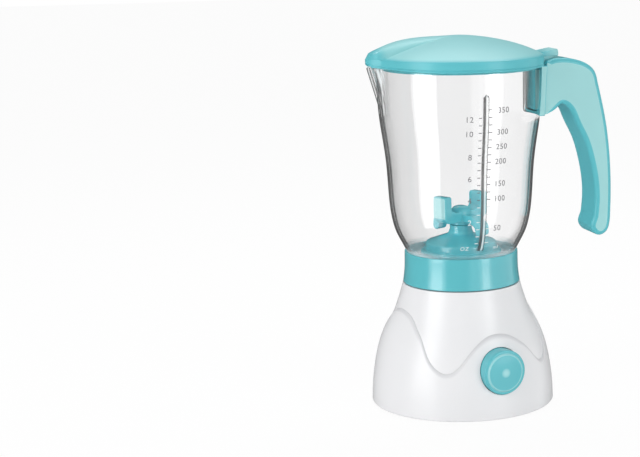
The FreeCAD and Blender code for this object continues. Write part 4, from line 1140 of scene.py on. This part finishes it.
far_side = np.arange(26, 180, 2.5)
lid_angles = ordered(np.arange(-24, 24.01, 1.5), far_side, -far_side)
top_pole, under_pole = [(0.0, 0.0, LID_DOME[0][1])], [(0.0, 0.0, LID_DOME[0][1] - LID_WALL)]
loops = [[(-r * cos(radians(a)), -r * sin(radians(a)), z) for r, a, z in row]
         for row in zip(*(lid_column(a) for a in lid_angles))]
lid = object_from("lid_dome", *rings([top_pole, *loops, under_pole], closed_rows=False))
print("lid grid", len(lid_angles), "columns of", len(loops))

# %% Hinge and thumb tab
HINGE_X, HINGE_Z = 49.3, 182.8


def hinge_rod(name, radius, half, columns=48):
    """A round rod along Y, about the hinge's axis."""
    shape = outline((0, -half), (radius, -half, 0.3), (radius, half, 0.3), (0, half))
    return turned_piece(name, shape, columns, place=lambda v: (v[0] + HINGE_X, v[2], HINGE_Z + v[1]))


barrel = hinge_rod("barrel", 2.6, 5.8)
lug = flat_piece("lug", outline((46.7, HINGE_Z), (51.9, HINGE_Z), (52.4, 188.4), (46.7, 188.4)), -5.8, 5.8,
                 0.3, 2)
bridge = flat_piece("bridge", box_outline(44.4, 48, LID_LOW + 0.6, 190), -5.8, 5.8)
tab = flat_piece("tab", outline((43.6, 187.8), (55.3, 187.8, 0.9), (55.0, 191.9, 1.1), (43.6, 190.0, 0.4)),
                 -6, 6, 0.5, 3)
combined(lid, [barrel, lug, bridge, tab])
combined(lid, [hinge_rod("pin_hole", 1.05, 9, 24)], "DIFFERENCE")
tidy(lid, LID_SHARP)


def satin_and_sheen_on_lid(x, y, z):
    """The thumb tab is rougher and painted paler, a painted sheen, and so is the dome above its band, a
    little less.
    """
    if x > 46.5 and z > 187:
        return 1.0
    return 0.7 * held((z - 189.9) / 0.5) * held((47 - hypot(x, y)) / 4)


# Painted sheen: the tab and the dome above the band are a lighter teal.
mark(lid, "satin", satin_and_sheen_on_lid)
finish_piece(lid, "lid", ["lid"], teal_grip)

# %% [markdown]
# ## The hidden works
#
# The rest stay as the solids made them: screws, springs, gears, the motor, the board and its wires. Each
# record slot gets a finish with the same moulded skin, as metal, nylon, rubber or coated board.

# %% Finishes for the other pieces
finishes = {"white_plastic": white_shell, "teal_plastic": teal_shell, "clear_plastic": jar_clear}
for name, colour, look in (
        ("grey_rubber", (0.22, 0.22, 0.23), {"shine": 0.7, "ripple": 0.3, "grain": 1500}),
        ("bright_steel", (0.62, 0.62, 0.63), {"shine": 0.25, "ripple": 0.08, "metal": 1.0}),
        ("nylon", (0.82, 0.8, 0.74), {"shine": 0.42, "ripple": 0.1, "glow": 0.1}),
        ("dark_plastic", (0.025, 0.025, 0.028), {"shine": 0.4}),
        ("circuit_board", (0.02, 0.16, 0.06), {"drift": 0.15, "shine": 0.35, "grain": 1200}),
        ("battery_sleeve", (0.04, 0.04, 0.05), {"shine": 0.22}),
        ("magnet", (0.06, 0.06, 0.065), {"shine": 0.55, "ripple": 0.3, "grain": 1400}),
        ("paper_cone", (0.05, 0.05, 0.05), {"shine": 0.8, "ripple": 0.4, "grain": 2200}),
        ("copper_winding", (0.5, 0.2, 0.09), {"shine": 0.3, "ripple": 0.4, "metal": 1.0}),
        ("brass", (0.62, 0.42, 0.14), {"shine": 0.25, "metal": 1.0}),
        ("red_lead", (0.45, 0.025, 0.02), {"shine": 0.35}),
        ("black_lead", (0.02, 0.02, 0.02), {"shine": 0.35})):
    finishes[name] = moulded_plastic(name, colour, **look)
slots = {part["node"]: part["material_slot"] for part in frame["record"]["subparts"]}
for name, node in frame["nodes"].items():
    for place in node.material_slots:
        place.material = finishes[slots[name]]
print(len(finishes), "finishes on", len(frame["nodes"]), "nodes")

# %% [markdown]
# ## Last measures
#
# The dressed model has to fill the same space as the solids, so both boxes are written side by side.

# %% Sizes and end
dressed_box = [list(corner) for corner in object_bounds()]
for low, high in zip(solid_box, dressed_box):
    print("solid", [round(v * 1000, 1) for v in low], "dressed", [round(v * 1000, 1) for v in high])
